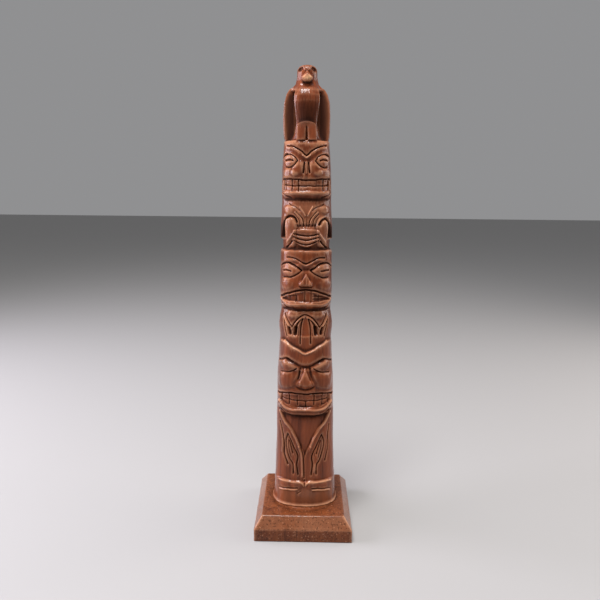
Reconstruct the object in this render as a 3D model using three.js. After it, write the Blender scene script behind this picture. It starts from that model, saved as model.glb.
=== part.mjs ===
// Carved totem pole on a square plinth. Millimetres, +Z up, front towards -Y, standing on z = 0.
// The pole is one carved piece: an oval column whose radius is worked out from the angle round it
// and the height, then faceted. The plinth is the second piece.
import * as THREE from 'three';

// Driving sizes.
const TOTAL_HEIGHT = 336;
const POLE_WIDTH = 48.2;
const BASE_SIDE = 72;
const BASE_HEIGHT = 17.9;
const BASE_EDGE_HEIGHT = 9.7;
const BASE_CHAMFER = 5.7;
const SEAT_GAP = 0.3;
const POLE_BOTTOM = BASE_HEIGHT + SEAT_GAP;

// The carving is laid out on a chart, in millimetres on a pole of the size shown. The chart is
// stretched to the pole's own height and width.
const CHART = { bottom: 18.2, top: 336, width: 48.2, birdBottom: 286 };
const CHART_PER_HEIGHT = (CHART.top - CHART.bottom) / (TOTAL_HEIGHT - POLE_BOTTOM);
const WIDTH_PER_CHART = POLE_WIDTH / CHART.width;

// How finely the pole is sampled before it is faceted, and the facets it keeps.
const ROW_STEP = 0.7;
const FRONT_COLUMN_DEGREES = 2.1;
const BACK_COLUMN_DEGREES = 7;
const FRONT_HALF_DEGREES = 84;
const POLE_FACETS = 9600;
const THINNEST_FACET = 0.14;
const LEAST_SPREAD = THINNEST_FACET * 0.4;
const LONGEST_FACET = 30;
const COST_OF_LENGTH = 1e-5;

// Oval section of the uncut pole, flatter than an ellipse: [height, half of its width or depth].
const SECTION_EXPONENT = 2.4;
const HALF_WIDTH = [
  [18, 24.1], [31, 23.3], [55, 22.2], [72, 21.6], [88, 21.6], [100, 21.3], [110, 21.2], [120, 20.9],
  [131, 20.1], [145, 19.4], [159, 19.5], [163, 19], [168, 18], [172, 18.1], [177, 18.6], [184, 18.8],
  [196, 18.5], [210, 18.3], [230, 18.3], [240, 17.9], [250, 17.4], [267, 17.1], [275, 16.6], [286, 15.7],
];
const HALF_DEPTH = [
  [18, 18.2], [60, 17.8], [100, 18.4], [130, 18.6], [160, 17.6], [190, 17.9], [225, 16.4],
  [270, 16.4], [286, 15.6],
];

// How far the carved front stands out of the section or lies below it: feet, lowest body and head,
// middle body and head, upper body and head.
const FRONT = [
  [18.2, 0.9], [19.6, 0.2], [21, 0], [31, 0.3], [37.4, 0.4], [38.5, -1],
  [57, -0.7], [78, -0.6], [88, -1], [92.4, -1.5], [93.3, -2.1], [95.6, 0.1],
  [97, 0.7], [99, 0.55], [109, 0.5], [120, 0.4], [127, 0], [132, 0.6], [146.2, 0.6],
  [147.4, -1.25], [160, -0.3], [166, -0.4], [169, -1], [169.8, -2.2], [172, -0.4], [172.8, 0.4],
  [175, 0.7], [185, 0.5], [190, 0.3], [200, 0.15], [211.8, 0.4], [212.6, -1.9], [216, -1.5],
  [228, -0.6], [240, -0.4], [245.6, -0.8], [247.1, -2.4], [249.6, -0.5], [250.4, 0.4],
  [264, 0.4], [272, 0.1], [283.8, 0.4], [286, -0.6],
];

// The same at the sides, and at the back, which is plain.
const SIDE = [
  [18.2, 0.9], [19.6, 0.2], [21, 0], [37, 0.1], [42, -0.2], [55, 0], [143, -0.2],
  [147, -0.7], [150, -0.6], [155, 0], [210, 0.1], [211.6, -0.2], [212.8, -1.9], [219, -1.7],
  [220.2, 0], [246, -0.3], [251, 0.1], [286, 0],
];
const BACK = [[18.2, 0.9], [19.6, 0.2], [21, 0]];

// Angles over which the carved front gives way to the plainer sides, and the sides to the back.
const FRONT_FADE = { start: THREE.MathUtils.degToRad(48), end: THREE.MathUtils.degToRad(78) };
const SIDE_FADE = { start: THREE.MathUtils.degToRad(98), end: THREE.MathUtils.degToRad(135) };

// Ledges of the front that dip towards the middle: height at the sides, how far the middle lies
// below, distance round the pole over which it does, and the height over which the dip dies away.
const LEDGE_DIPS = [
  { height: 147, drop: 8.6, reach: 17, power: 1, fade: 16 },
  { height: 95.6, drop: 4, reach: 20, power: 4, fade: 5 },
];

// How far the pole's middle line lies to the right of the plinth's middle: it leans a little.
const AXIS_SHIFT = [[18, 0.9], [120, 0.3], [225, 0], [300, -0.7], [336, -0.7]];

// Main heights of the figures on the chart.
const FEET = { ledge: 38.9, toes: 35.6 };
const LOW_BODY = { top: 91.5, fieldFoot: 57, bandWidth: 2.6, bandHeight: 0.9 };
const LOW_HEAD = { brow: 138.2, noseFoot: 112.8, mouth: 107.9, teethLine: 102.5 };
const MIDDLE_BODY = { collar: 166.8, valley: [10.2, 157.2] };
const MIDDLE_HEAD = { brow: 203.3, noseFoot: 186.5, mouth: 184.7 };
const UPPER_BODY = {
  fanFoot: 229, handHalf: 8.9, fingers: [[222.3, 223.9], [219.3, 221.7], [216.3, 219.1]],
};
const UPPER_HEAD = { brow: 276.4, mouth: 260, teethLine: 255.9 };

// The bird: radius down its breast, its wings and its back, and the gap beside each wing.
const BREAST = [
  [286, 12.2], [290, 11.4], [297, 10.2], [299.5, 10.3], [303, 11], [308, 12.2], [312, 13], [316, 12.7],
  [319, 11.4], [321.5, 9.2], [324, 7.7], [326, 7], [331, 6.9], [333.5, 6.4], [335.2, 5.2], [336, 3.4],
];
const WING = [
  [286, 15], [289, 15.8], [293, 16.1], [303, 16.3], [311.5, 15.8], [317.2, 14.2], [320.3, 12.2],
  [321.4, 10.2], [323.8, 7.9], [328.3, 6.5], [333, 6.4], [335, 5.2], [336, 3.4],
];
const BIRD_BACK = [
  [286, 15.2], [300, 15], [312, 14], [318, 12], [322, 9], [326, 7.6], [332, 7], [334.5, 6], [336, 3.4],
];
const GAP = { floor: 8.2, low: 287.5, rise: 11, high: 319.4, fall: 1.4 };
const BREAST_END = { start: THREE.MathUtils.degToRad(41), end: THREE.MathUtils.degToRad(56) };
const WING_START = { start: THREE.MathUtils.degToRad(65.5), end: THREE.MathUtils.degToRad(72) };
const BIRD_SCALE = [[286, 14], [317, 13.4], [323, 8.4], [328, 6.7], [336, 6.5]];

const clamp01 = (value) => Math.min(Math.max(value, 0), 1);

const eased = (t) => t * t * (3 - 2 * t);

const smooth = (from, to, value) => eased(clamp01((value - from) / (to - from)));

// Value of a table of [height, value] rows at one height.
const along = (table, height) => {
  if (height <= table[0][0]) return table[0][1];
  for (let i = 1; i < table.length; i += 1) {
    const [top, value] = table[i];
    if (height <= top) {
      const [low, before] = table[i - 1];
      return before + (value - before) * ((height - low) / (top - low));
    }
  }
  return table[table.length - 1][1];
};

// Smooth line through a few given points. One that starts on the middle line crosses it level.
const LINE_STEPS = 4;
const lineThrough = (given) => {
  if (given.length === 2) return given;
  const [first, second] = given;
  const last = given[given.length - 1];
  const nextToLast = given[given.length - 2];
  const before = first[0] === 0
    ? [-second[0], second[1]]
    : [2 * first[0] - second[0], 2 * first[1] - second[1]];
  const after = [2 * last[0] - nextToLast[0], 2 * last[1] - nextToLast[1]];
  const chain = [before, ...given, after];
  const points = [];
  for (let i = 1; i < chain.length - 2; i += 1) {
    for (let step = 0; step < LINE_STEPS; step += 1) {
      const t = step / LINE_STEPS;
      points.push([0, 1].map((axis) => {
        const [a, b, c, d] = chain.slice(i - 1, i + 3).map((point) => point[axis]);
        return 0.5 * (2 * b + (c - a) * t + (2 * a - 5 * b + 4 * c - d) * t ** 2
          + (3 * b - a - 3 * c + d) * t ** 3);
      }));
    }
  }
  return [...points, last];
};

// Distance from a place to a line, and how far along the line the nearest point lies.
const nearestOn = (points, s, z) => {
  let gap = Infinity;
  let reached = 0;
  for (let i = 1; i < points.length; i += 1) {
    const [s0, z0] = points[i - 1];
    const ds = points[i][0] - s0;
    const dz = points[i][1] - z0;
    const t = clamp01(((s - s0) * ds + (z - z0) * dz) / (ds * ds + dz * dz));
    const distance = Math.hypot(s - s0 - ds * t, z - z0 - dz * t);
    if (distance < gap) {
      gap = distance;
      reached = (i - 1 + t) / (points.length - 1);
    }
  }
  return { gap, reached };
};

// Heights of curves over the distance from the middle line: one that crosses the front, from its
// middle to its end at a given reach, a level one, and one that falls away from a given start.
const sweep = (middle, end, reach, power = 2) => (a) => middle + (end - middle) * (a / reach) ** power;
const level = (height) => () => height;
const falling = (start, top, power) => (a) => top - Math.max(a - start, 0) ** power;

// Each carved feature is a function of the distance round the pole and the height, both on the
// chart. It answers with the change of radius there. Most are mirrored about the middle line.
const both = (...features) => features.map((feature) => (s, z) => feature(Math.abs(s), z));
const onLeft = (...features) => features.map((feature) => (s, z) => feature(-s, z));

const cutAlong = (width, depth, taper, profile, given) => {
  const points = lineThrough(given);
  const half = width / 2;
  const across = points.map((point) => point[0]);
  const heights = points.map((point) => point[1]);
  const box = [Math.min(...across) - half, Math.max(...across) + half];
  const rows = [Math.min(...heights) - half, Math.max(...heights) + half];
  return (s, z) => {
    if (s < box[0] || s > box[1] || z < rows[0] || z > rows[1]) return 0;
    const { gap, reached } = nearestOn(points, s, z);
    return -depth * profile(clamp01(1 - gap / half)) * (1 - taper * reached);
  };
};

// A cut with a narrow floor, and below it one with soft edges.
const narrow = (t) => t * (1.3 - 0.3 * t);

const groove = (width, depth, given, taper = 0) => cutAlong(width, depth, taper, narrow, given);

const bead = (width, height, given, taper = 0) => groove(width, -height, given, taper);

const softGroove = (width, depth, given, taper = 0) => cutAlong(width, depth, taper, eased, given);

// Rounded swelling, or a hollow if its height is negative. A fuller one has a flatter top, and a
// higher power gives it squarer sides.
const dome = (s0, z0, halfWidth, halfHeight, height, { lean = 0, fullness = 1, power = 2 } = {}) => {
  const turn = THREE.MathUtils.degToRad(lean);
  return (s, z) => {
    const u = (s - s0) * Math.cos(turn) - (z - z0) * Math.sin(turn);
    const v = (s - s0) * Math.sin(turn) + (z - z0) * Math.cos(turn);
    const rest = 1 - Math.abs(u / halfWidth) ** power - Math.abs(v / halfHeight) ** power;
    return height * eased(clamp01(fullness * rest));
  };
};

// Raised or sunk area between two curves, from its start to its reach.
const area = (low, high, reach, amount, { soft = 0.8, start = -Infinity } = {}) => (a, z) => {
  if (a > reach || a < start) return 0;
  return amount * clamp01((z - low(a)) / soft) * clamp01((high(a) - z) / soft)
    * clamp01((reach - a) / soft) * clamp01((a - start) / soft);
};

const uprights = (places, from, to, width, depth) => places.map(
  (place) => groove(width, depth, [[place, from], [place, to]]),
);

const feet = [
  ...both(
    dome(5.4, FEET.toes, 5.8, 4.4, 0.6),
    dome(15, FEET.toes - 0.8, 6.4, 4.2, 0.6),
    groove(1.5, 0.9, [[5.4, 32.9], [12, 32.2], [21, 30.3]], 0.5),
  ),
  groove(1.8, 1.2, [[0, FEET.ledge], [0, 33.8]], 0.6),
];

// The lowest body: raised V bands, a smooth field between them and a fish on each side.
const lowBody = [
  ...both(
    area(sweep(LOW_BODY.fieldFoot, LOW_BODY.top, 21, 0.72), level(LOW_BODY.top), 21, -0.9, { soft: 1.2 }),
    bead(LOW_BODY.bandWidth, LOW_BODY.bandHeight, [
      [22, LOW_BODY.top], [16, 84.2], [10.6, 79.6], [7.3, 73], [4.2, 66],
    ]),
    groove(1.6, 1.3, [[13.4, 75.4], [15.3, 68.5], [12.8, 57], [9.2, 51], [9.4, 44]]),
    groove(1.6, 1.3, [[13.2, 75], [9.3, 66.6], [5.6, 58.4], [6.2, 51.4], [5.4, 43.2]]),
    groove(1.5, 1.2, [[12.6, 71.6], [10.9, 65.8], [9.2, 59]]),
  ),
  ...onLeft(
    bead(LOW_BODY.bandWidth, LOW_BODY.bandHeight, [[4.2, 66], [2.5, 58], [1.7, 42]]),
    groove(1.5, 1, [[3.4, 67], [1.1, 57], [0.5, 41]]),
    groove(1.9, 1.5, [[21.6, 83.4], [18.4, 74.6], [17, 65], [16.8, 58.6], [13.8, 51.2]]),
  ),
  groove(1.8, 1, [[20.6, 82], [19.2, 74], [19.2, 64], [16.6, 54]]),
];

const lowHead = [
  ...both(
    bead(1.6, 0.6, [[0, LOW_HEAD.brow], [5, 140.8], [8, 142.5], [12, 144.3], [17, 147.2]]),
    softGroove(5.6, 1.3, [[0, 128.2], [7, 130.4], [13, 133.2]]),
    softGroove(2.6, 0.9, [[9, 132], [14, 133.8], [18, 133], [25, 130.8]]),
    dome(12.8, 128.4, 8, 4.4, 0.9, { lean: -4 }),
    groove(1.5, 1.2, [[6.2, 127.3], [9, 125.6], [13, 124.3], [19, 123.5]], 0.3),
    dome(13.6, 118, 11, 8.4, 1.3, { lean: 8 }),
    softGroove(3.4, 1.1, [[3.6, 127], [4.4, 122.4], [6.6, 116.4]], 0.4),
    area(sweep(LOW_HEAD.noseFoot, 114.2, 5.4), sweep(128.5, 115, 5.4, 0.9), 5.4, 1, { soft: 2 }),
    dome(0, 118, 3.6, 8, 0.8),
    dome(4.1, 115.9, 2.4, 3.2, 0.6),
    softGroove(2.8, 0.8, [[0, 111.5], [4, 112], [7, 114.4]], 0.4),
    groove(1.8, 1.8, [[0, LOW_HEAD.mouth], [10, 108.2], [18, 107], [26, 105.4]]),
    area(sweep(97.6, 100.6, 19), sweep(107.4, 106.4, 20), 20, -0.8),
    groove(1.5, 1, [[0, LOW_HEAD.teethLine], [10, 103], [18, 103.4]]),
    bead(3.2, 1.2, [[0, 96], [10, 95.5], [15, 97], [21, 100.8]]),
    softGroove(2.2, 0.9, [[11, 93], [16, 94.4], [22, 98.4]]),
  ),
  ...uprights([-18.6, -12, -5.6, 6.7, 13, 18], 99.5, 107.3, 1.5, 0.9),
  ...uprights([0.5], 98, LOW_HEAD.teethLine, 1.5, 0.9),
];

// The middle body: shoulders, feather lines, pockets and the bar down its middle.
const middleBody = both(
  dome(9.6, 167.2, 6.4, 4.4, 1),
  area(sweep(150.8, 150.8, 17), sweep(166, 156, 10.4, 1.6), 16.6, -0.5, { soft: 0.9 }),
  groove(1.6, 1.3, [[0, MIDDLE_BODY.collar], [4.6, 164.8], [8, 161.2], MIDDLE_BODY.valley]),
  groove(1.6, 1.2, [MIDDLE_BODY.valley, [13, 160.6], [16.8, 166.4]]),
  groove(1.5, 1.1, [[11.4, 154.4], [14.4, 158.4], [18.4, 163.8]]),
  bead(1.5, 0.6, [[0.8, 164.8], [4.6, 162.8], [9.6, 157.2]]),
  groove(1.5, 1.1, [[3, 163.4], [5.6, 160.8], [7.4, 156.8]]),
  groove(3, 2, [[7.4, 157.2], [8.3, 153]]),
  groove(2.4, 1.7, [[12.6, 156], [12.4, 153]]),
  groove(1.5, 1.2, [[17.6, 162.4], [16.6, 157], [15.2, 150.6]]),
  groove(1.5, 1.3, [[2.2, 163.8], [3.3, 159], [3.9, 152], [3.9, 145.6]]),
);

const middleHead = [
  ...both(
    groove(1.6, 1.2, [[0, MIDDLE_HEAD.brow], [3, 204.2], [7, 206.4], [10, 207.2], [13.6, 207.2]]),
    bead(1.5, 0.7, [[0, 201.9], [1.8, 202.5], [4, 203.8]]),
    dome(9, 203.2, 5, 2, -0.6),
    softGroove(5, 0.7, [[0, 199], [4, 199.4]]),
    groove(1.7, 1.5, [[3.2, 198.4], [6.5, 200.6], [9.5, 202.2], [13.6, 203.5], [18, 202.8], [24, 200.4]]),
    groove(1.5, 1.2, [[3.2, 198.2], [5, 196.6], [8.4, 194.6], [12.4, 193.2], [17.4, 193.3]], 0.3),
    dome(12.4, 198, 8.6, 4.6, 0.9, { lean: -2 }),
    groove(1.6, 1.2, [[10.4, 197.9], [14, 198.3], [17.4, 198]]),
    area(sweep(187, 187.6, 4.8), sweep(196.4, 188.4, 4.8, 1), 4.8, 1.1, { soft: 1 }),
    dome(3, 189.4, 2.1, 2.8, 0.7),
    groove(1.5, 1, [[0, MIDDLE_HEAD.noseFoot], [2.4, 186.5], [4.2, 187]]),
    dome(14.6, 188.4, 7.8, 5.6, 1.1),
    groove(2.2, 2, [[0, MIDDLE_HEAD.mouth], [5, 184.3], [10, 182.8], [16, 180.7], [25, 178]]),
    area(sweep(175.8, 177, 20), sweep(184, 178, 20, 1.3), 19, -0.8),
    area(sweep(176, 177, 20), sweep(182.6, 178, 20, 1.3), 19, -0.5, { start: 5.6 }),
    softGroove(3.2, -0.9, [[0, 174.2], [12, 174], [17, 175.6], [21, 178]]),
    softGroove(2.4, 1, [[11, 170.8], [16, 171.6], [21, 174.6]]),
  ),
  ...uprights([-7.3, -0.7, 3.7], 176, 183.4, 1.5, 0.6),
];

// The upper body: folded arms in open sleeves, clasped hands and a fan of feathers above them.
const upperBody = [
  ...both(
    dome(11.8, 224.8, 5.2, 11.4, 1, { fullness: 1.9, power: 3 }),
    groove(1.8, 1.6, [[10.6, 218.6], [12.8, 216.3], [17.6, 213.9]], 0.2),
    bead(1.8, 0.8, [[7.6, 225.6], [11, 221.4], [14.6, 217.6]]),
    area(sweep(214.4, 218.2, UPPER_BODY.handHalf), sweep(227.4, 226.4, UPPER_BODY.handHalf),
      UPPER_BODY.handHalf + 0.2, 0.9),
    ...UPPER_BODY.fingers.map(([middle, end]) => groove(1.6, 1.4, [
      [0, middle], [4.6, middle + 0.25 * (end - middle)], [UPPER_BODY.handHalf - 0.4, end],
    ])),
    area(sweep(227.6, 227.4, 7.4), sweep(230, 230.4, 7.4), 7.4, -0.7),
    groove(1.5, 1.1, [[1.8, UPPER_BODY.fanFoot], [3, 234], [7.2, 238.4]], 0.3),
    groove(1.5, 1, [[4.6, UPPER_BODY.fanFoot], [5.6, 233.6], [8.8, 237.2]], 0.3),
    bead(1.5, 0.6, [[0.9, 236], [2.4, 239], [4.6, 242]]),
    groove(1.5, 0.6, [[4.4, 239.6], [7.6, 241.6], [13.4, 243.8]]),
    dome(13.6, 240.2, 5.6, 3.6, 0.8),
  ),
  ...onLeft(
    groove(2.6, 2.4, [[7.6, 232.2], [9, 234.6], [12, 235.8], [15, 234.8], [16.8, 233.4]]),
    area(level(220.4), falling(16, 234.8, 1.35), 25, -2.2, { start: 16 }),
  ),
  groove(2.6, 2.4, [[9.4, 230.2], [11.2, 233], [14.2, 233.8], [17.2, 232.4]]),
  area(level(220.4), falling(16.6, 233.6, 1.35), 25, -2.2, { start: 16.6 }),
];

const upperHead = [
  ...both(
    groove(1.5, 1.3, [[0, UPPER_HEAD.brow - 0.2], [3.2, 278.7], [6.4, 280.8], [10, 282.2], [14.6, 282.9]]),
    bead(1.5, 0.7, [[0, 274.7], [2.2, 276.2]]),
    softGroove(4.4, 0.45, [[2, 273], [5, 275], [9, 278.2], [15, 279.2]]),
    groove(1.5, 1, [[6.2, 272.6], [7.8, 275], [11, 276.6], [15.4, 277.2]]),
    groove(1.9, 1.5, [[14.4, 277.2], [17.8, 276.4], [20.4, 274.4]]),
    groove(1.5, 1.1, [[6.2, 272.6], [7.6, 270.8], [9.8, 269.1], [12.6, 268.3], [15.6, 269]], 0.3),
    dome(12.6, 272.8, 6.6, 4, 0.45, { lean: -2 }),
    groove(1.6, 1.2, [[9.4, 272.8], [12.2, 273.3], [15.4, 273.2]]),
    groove(1.5, 1.3, [[1.5, 271.4], [2, 264.8]]),
    dome(5.8, 267.2, 4.6, 6.6, 1, { lean: -34 }),
    dome(12.8, 264.4, 8.4, 4, 0.8),
    groove(1.6, 1.5, [[0, UPPER_HEAD.mouth], [10, 260.5], [24, 261.2]]),
    area(sweep(252.4, 253, 18, 4), sweep(259.8, 260.4, 18), 18, -0.7),
    groove(1.5, 1, [[0, UPPER_HEAD.teethLine], [8, 256.1], [17.4, 256.8]]),
    softGroove(1.9, -0.5, [[0, 251.2], [12, 251.2], [18.6, 251.8]]),
    softGroove(2, 0.9, [[12, 248.4], [17, 249.8], [22, 252.6]]),
  ),
  ...uprights([-15.9, -10.3, -5.6, 12, 16.6], 252.8, 259.8, 1.5, 0.9),
];

const carving = [
  ...feet, ...lowBody, ...lowHead, ...middleBody, ...middleHead, ...upperBody, ...upperHead,
];

// Bird on top: legs, beak, eyes and wing feathers.
const birdCarving = both(
  area(sweep(284, 284, 1), sweep(298.9, 297, 7, 4), 7.2, 3.9, { soft: 0.9 }),
  groove(2, 2.6, [[0, 286], [0, 295.8]], 0.4),
  area(sweep(324.4, 325.4, 3.8), sweep(332, 326.4, 4, 1), 4.2, 1.9, { soft: 1.3 }),
  area(sweep(324.6, 325.6, 3.2), sweep(330.4, 326.2, 3.2, 1), 3.5, 1.9, { soft: 1.5 }),
  dome(0, 322.8, 5.6, 3.4, -0.8),
  dome(5.3, 332.2, 2.6, 1.7, -1.2, { lean: 14, fullness: 1.6 }),
  ...[[19.4, 291, 312], [25, 288, 313], [31, 287, 311]].map(([place, low, high]) => groove(1.8, 0.8, [
    [place, low], [place - 0.4, (low + high) / 2], [place - 1.4, high],
  ], 0.3)),
);

const dipped = (s, z) => {
  let shifted = z;
  for (const { height, drop, reach, power, fade } of LEDGE_DIPS) {
    const middle = height - drop / 2;
    const strength = clamp01(1 - Math.abs(z - middle) / (fade + drop / 2)) ** 0.5;
    shifted += drop * (1 - clamp01(Math.abs(s) / reach) ** power) * strength;
  }
  return shifted;
};

const uncutRadius = (angle, z) => {
  const wide = Math.abs(Math.sin(angle)) / along(HALF_WIDTH, z);
  const deep = Math.abs(Math.cos(angle)) / along(HALF_DEPTH, z);
  return (wide ** SECTION_EXPONENT + deep ** SECTION_EXPONENT) ** (-1 / SECTION_EXPONENT);
};

const columnRadius = (angle, s, z) => {
  const turn = Math.abs(angle);
  const sideShare = smooth(FRONT_FADE.start, FRONT_FADE.end, turn);
  const backShare = smooth(SIDE_FADE.start, SIDE_FADE.end, turn);
  const front = along(FRONT, dipped(s, z));
  const side = along(SIDE, z);
  const plain = side + (along(BACK, z) - side) * backShare;
  let radius = uncutRadius(angle, z) + front + (plain - front) * sideShare;
  for (const feature of carving) radius += feature(s, z);
  return radius;
};

const birdRadius = (angle, z) => {
  const turn = Math.abs(angle);
  const backShare = smooth(Math.PI * 0.6, Math.PI, turn);
  const plain = along(WING, z) + (along(BIRD_BACK, z) - along(WING, z)) * backShare;
  const wingShare = smooth(WING_START.start, WING_START.end, turn);
  const breastShare = 1 - smooth(BREAST_END.start, BREAST_END.end, turn);
  const gapShare = clamp01((z - GAP.low) / GAP.rise) * clamp01((GAP.high - z) / GAP.fall);
  const breast = along(BREAST, z);
  const lower = Math.min(breast, plain);
  const between = lower + (GAP.floor - lower) * gapShare;
  let radius = between + (plain - between) * wingShare + (breast - between) * breastShare;
  const s = angle * along(BIRD_SCALE, z);
  for (const feature of birdCarving) radius += feature(s, z);
  return radius;
};

// Angles of the columns from the seam at the back round the front to the seam again.
const columnAngles = () => {
  const half = THREE.MathUtils.degToRad(FRONT_HALF_DEGREES);
  const frontSteps = 2 * Math.ceil(FRONT_HALF_DEGREES / FRONT_COLUMN_DEGREES);
  const backSteps = Math.round((180 - FRONT_HALF_DEGREES) / BACK_COLUMN_DEGREES);
  const backStep = (Math.PI - half) / backSteps;
  const angles = [];
  for (let i = 0; i < backSteps; i += 1) angles.push(-Math.PI + backStep * i);
  for (let i = 0; i <= frontSteps; i += 1) angles.push(half * ((2 * i) / frontSteps - 1));
  for (let i = 1; i < backSteps; i += 1) angles.push(half + backStep * i);
  return angles;
};

// Distances round the uncut section at one height, from the middle of the front and positive to
// the right.
const distancesRound = (angles, z) => {
  const places = angles.map((angle) => {
    const radius = uncutRadius(angle, z);
    return [radius * Math.sin(angle), radius * Math.cos(angle)];
  });
  const total = [0];
  for (let i = 1; i < places.length; i += 1) {
    total.push(total[i - 1] + Math.hypot(places[i][0] - places[i - 1][0], places[i][1] - places[i - 1][1]));
  }
  const middle = total[angles.findIndex((angle) => Math.abs(angle) < Number.EPSILON)];
  return total.map((value) => value - middle);
};

// Grid of points over the whole pole, closed by one point on its middle line at each end.
const sampledPole = () => {
  const angles = columnAngles();
  const rowCount = Math.round((TOTAL_HEIGHT - POLE_BOTTOM) / ROW_STEP);
  const points = [];
  const triangles = [];
  for (let row = 0; row <= rowCount; row += 1) {
    const z = POLE_BOTTOM + ((TOTAL_HEIGHT - POLE_BOTTOM) * row) / rowCount;
    const chartZ = CHART.bottom + (z - POLE_BOTTOM) * CHART_PER_HEIGHT;
    const distances = distancesRound(angles, chartZ);
    const shift = along(AXIS_SHIFT, chartZ);
    const rim = row === 0 || row === rowCount;
    angles.forEach((angle, column) => {
      const radius = WIDTH_PER_CHART * (chartZ >= CHART.birdBottom
        ? birdRadius(angle, chartZ)
        : columnRadius(angle, distances[column], chartZ));
      const x = radius * Math.sin(angle) + shift;
      const y = -radius * Math.cos(angle);
      points.push({ x, y, z, shift, angle, rim });
    });
  }
  const count = angles.length;
  const closing = (z, shift) => points.push({ x: shift, y: 0, z, axis: true, rim: true }) - 1;
  const bottom = closing(POLE_BOTTOM, points[0].shift);
  const top = closing(TOTAL_HEIGHT, points[rowCount * count].shift);
  for (let column = 0; column < count; column += 1) {
    const next = (column + 1) % count;
    for (let row = 0; row < rowCount; row += 1) {
      const a = row * count + column;
      const b = row * count + next;
      const c = b + count;
      const d = a + count;
      triangles.push([a, b, c], [a, c, d]);
    }
    triangles.push([bottom, next, column]);
    triangles.push([top, rowCount * count + column, rowCount * count + next]);
  }
  return { points, triangles };
};

// Binary heap of candidate merges, cheapest first.
class MergeQueue {
  constructor() {
    this.items = [];
  }

  push(item) {
    const { items } = this;
    let i = items.push(item) - 1;
    while (i > 0) {
      const parent = (i - 1) >> 1;
      if (items[parent].cost <= items[i].cost) break;
      [items[parent], items[i]] = [items[i], items[parent]];
      i = parent;
    }
  }

  pop() {
    const { items } = this;
    const first = items[0];
    const last = items.pop();
    if (items.length > 0) {
      items[0] = last;
      let i = 0;
      for (;;) {
        const left = 2 * i + 1;
        if (left >= items.length) break;
        const right = left + 1;
        const child = right < items.length && items[right].cost < items[left].cost ? right : left;
        if (items[i].cost <= items[child].cost) break;
        [items[i], items[child]] = [items[child], items[i]];
        i = child;
      }
    }
    return first;
  }
}

const crossOf = (p, q, r) => {
  const ux = q.x - p.x;
  const uy = q.y - p.y;
  const uz = q.z - p.z;
  const vx = r.x - p.x;
  const vy = r.y - p.y;
  const vz = r.z - p.z;
  return [uy * vz - uz * vy, uz * vx - ux * vz, ux * vy - uy * vx];
};

// Error sums of the planes round a point, as the ten values of a symmetric matrix.
const addPlane = (sum, normal, offset, weight) => {
  const [a, b, c] = normal;
  const row = [
    a * a, a * b, a * c, a * offset, b * b, b * c, b * offset, c * c, c * offset, offset * offset,
  ];
  for (let i = 0; i < row.length; i += 1) sum[i] += weight * row[i];
};

const planeError = (sum, other, { x, y, z }) => {
  const m = (i) => sum[i] + other[i];
  return m(0) * x * x + 2 * m(1) * x * y + 2 * m(2) * x * z + 2 * m(3) * x
    + m(4) * y * y + 2 * m(5) * y * z + 2 * m(6) * y + m(7) * z * z + 2 * m(8) * z + m(9);
};

const angleBetween = (from, to) => {
  const turn = to - from;
  if (turn > Math.PI) return turn - 2 * Math.PI;
  return turn < -Math.PI ? turn + 2 * Math.PI : turn;
};

// A facet is sound when it still faces outwards seen from the axis and is not a needle.
const soundFacet = (p, q, r) => {
  const normal = crossOf(p, q, r);
  const doubleArea = Math.hypot(...normal);
  const longest = Math.max(
    Math.hypot(q.x - p.x, q.y - p.y, q.z - p.z),
    Math.hypot(r.x - q.x, r.y - q.y, r.z - q.z),
    Math.hypot(p.x - r.x, p.y - r.y, p.z - r.z),
  );
  if (longest > LONGEST_FACET || doubleArea / longest < THINNEST_FACET) return false;
  if (p.axis || q.axis || r.axis) return true;
  const qTurn = angleBetween(p.angle, q.angle);
  const rTurn = angleBetween(p.angle, r.angle);
  const middleRadius = Math.hypot(p.x - p.shift, p.y);
  const doubleSpread = (qTurn * (r.z - p.z) - rTurn * (q.z - p.z)) * middleRadius;
  return doubleSpread > LEAST_SPREAD;
};

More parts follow.
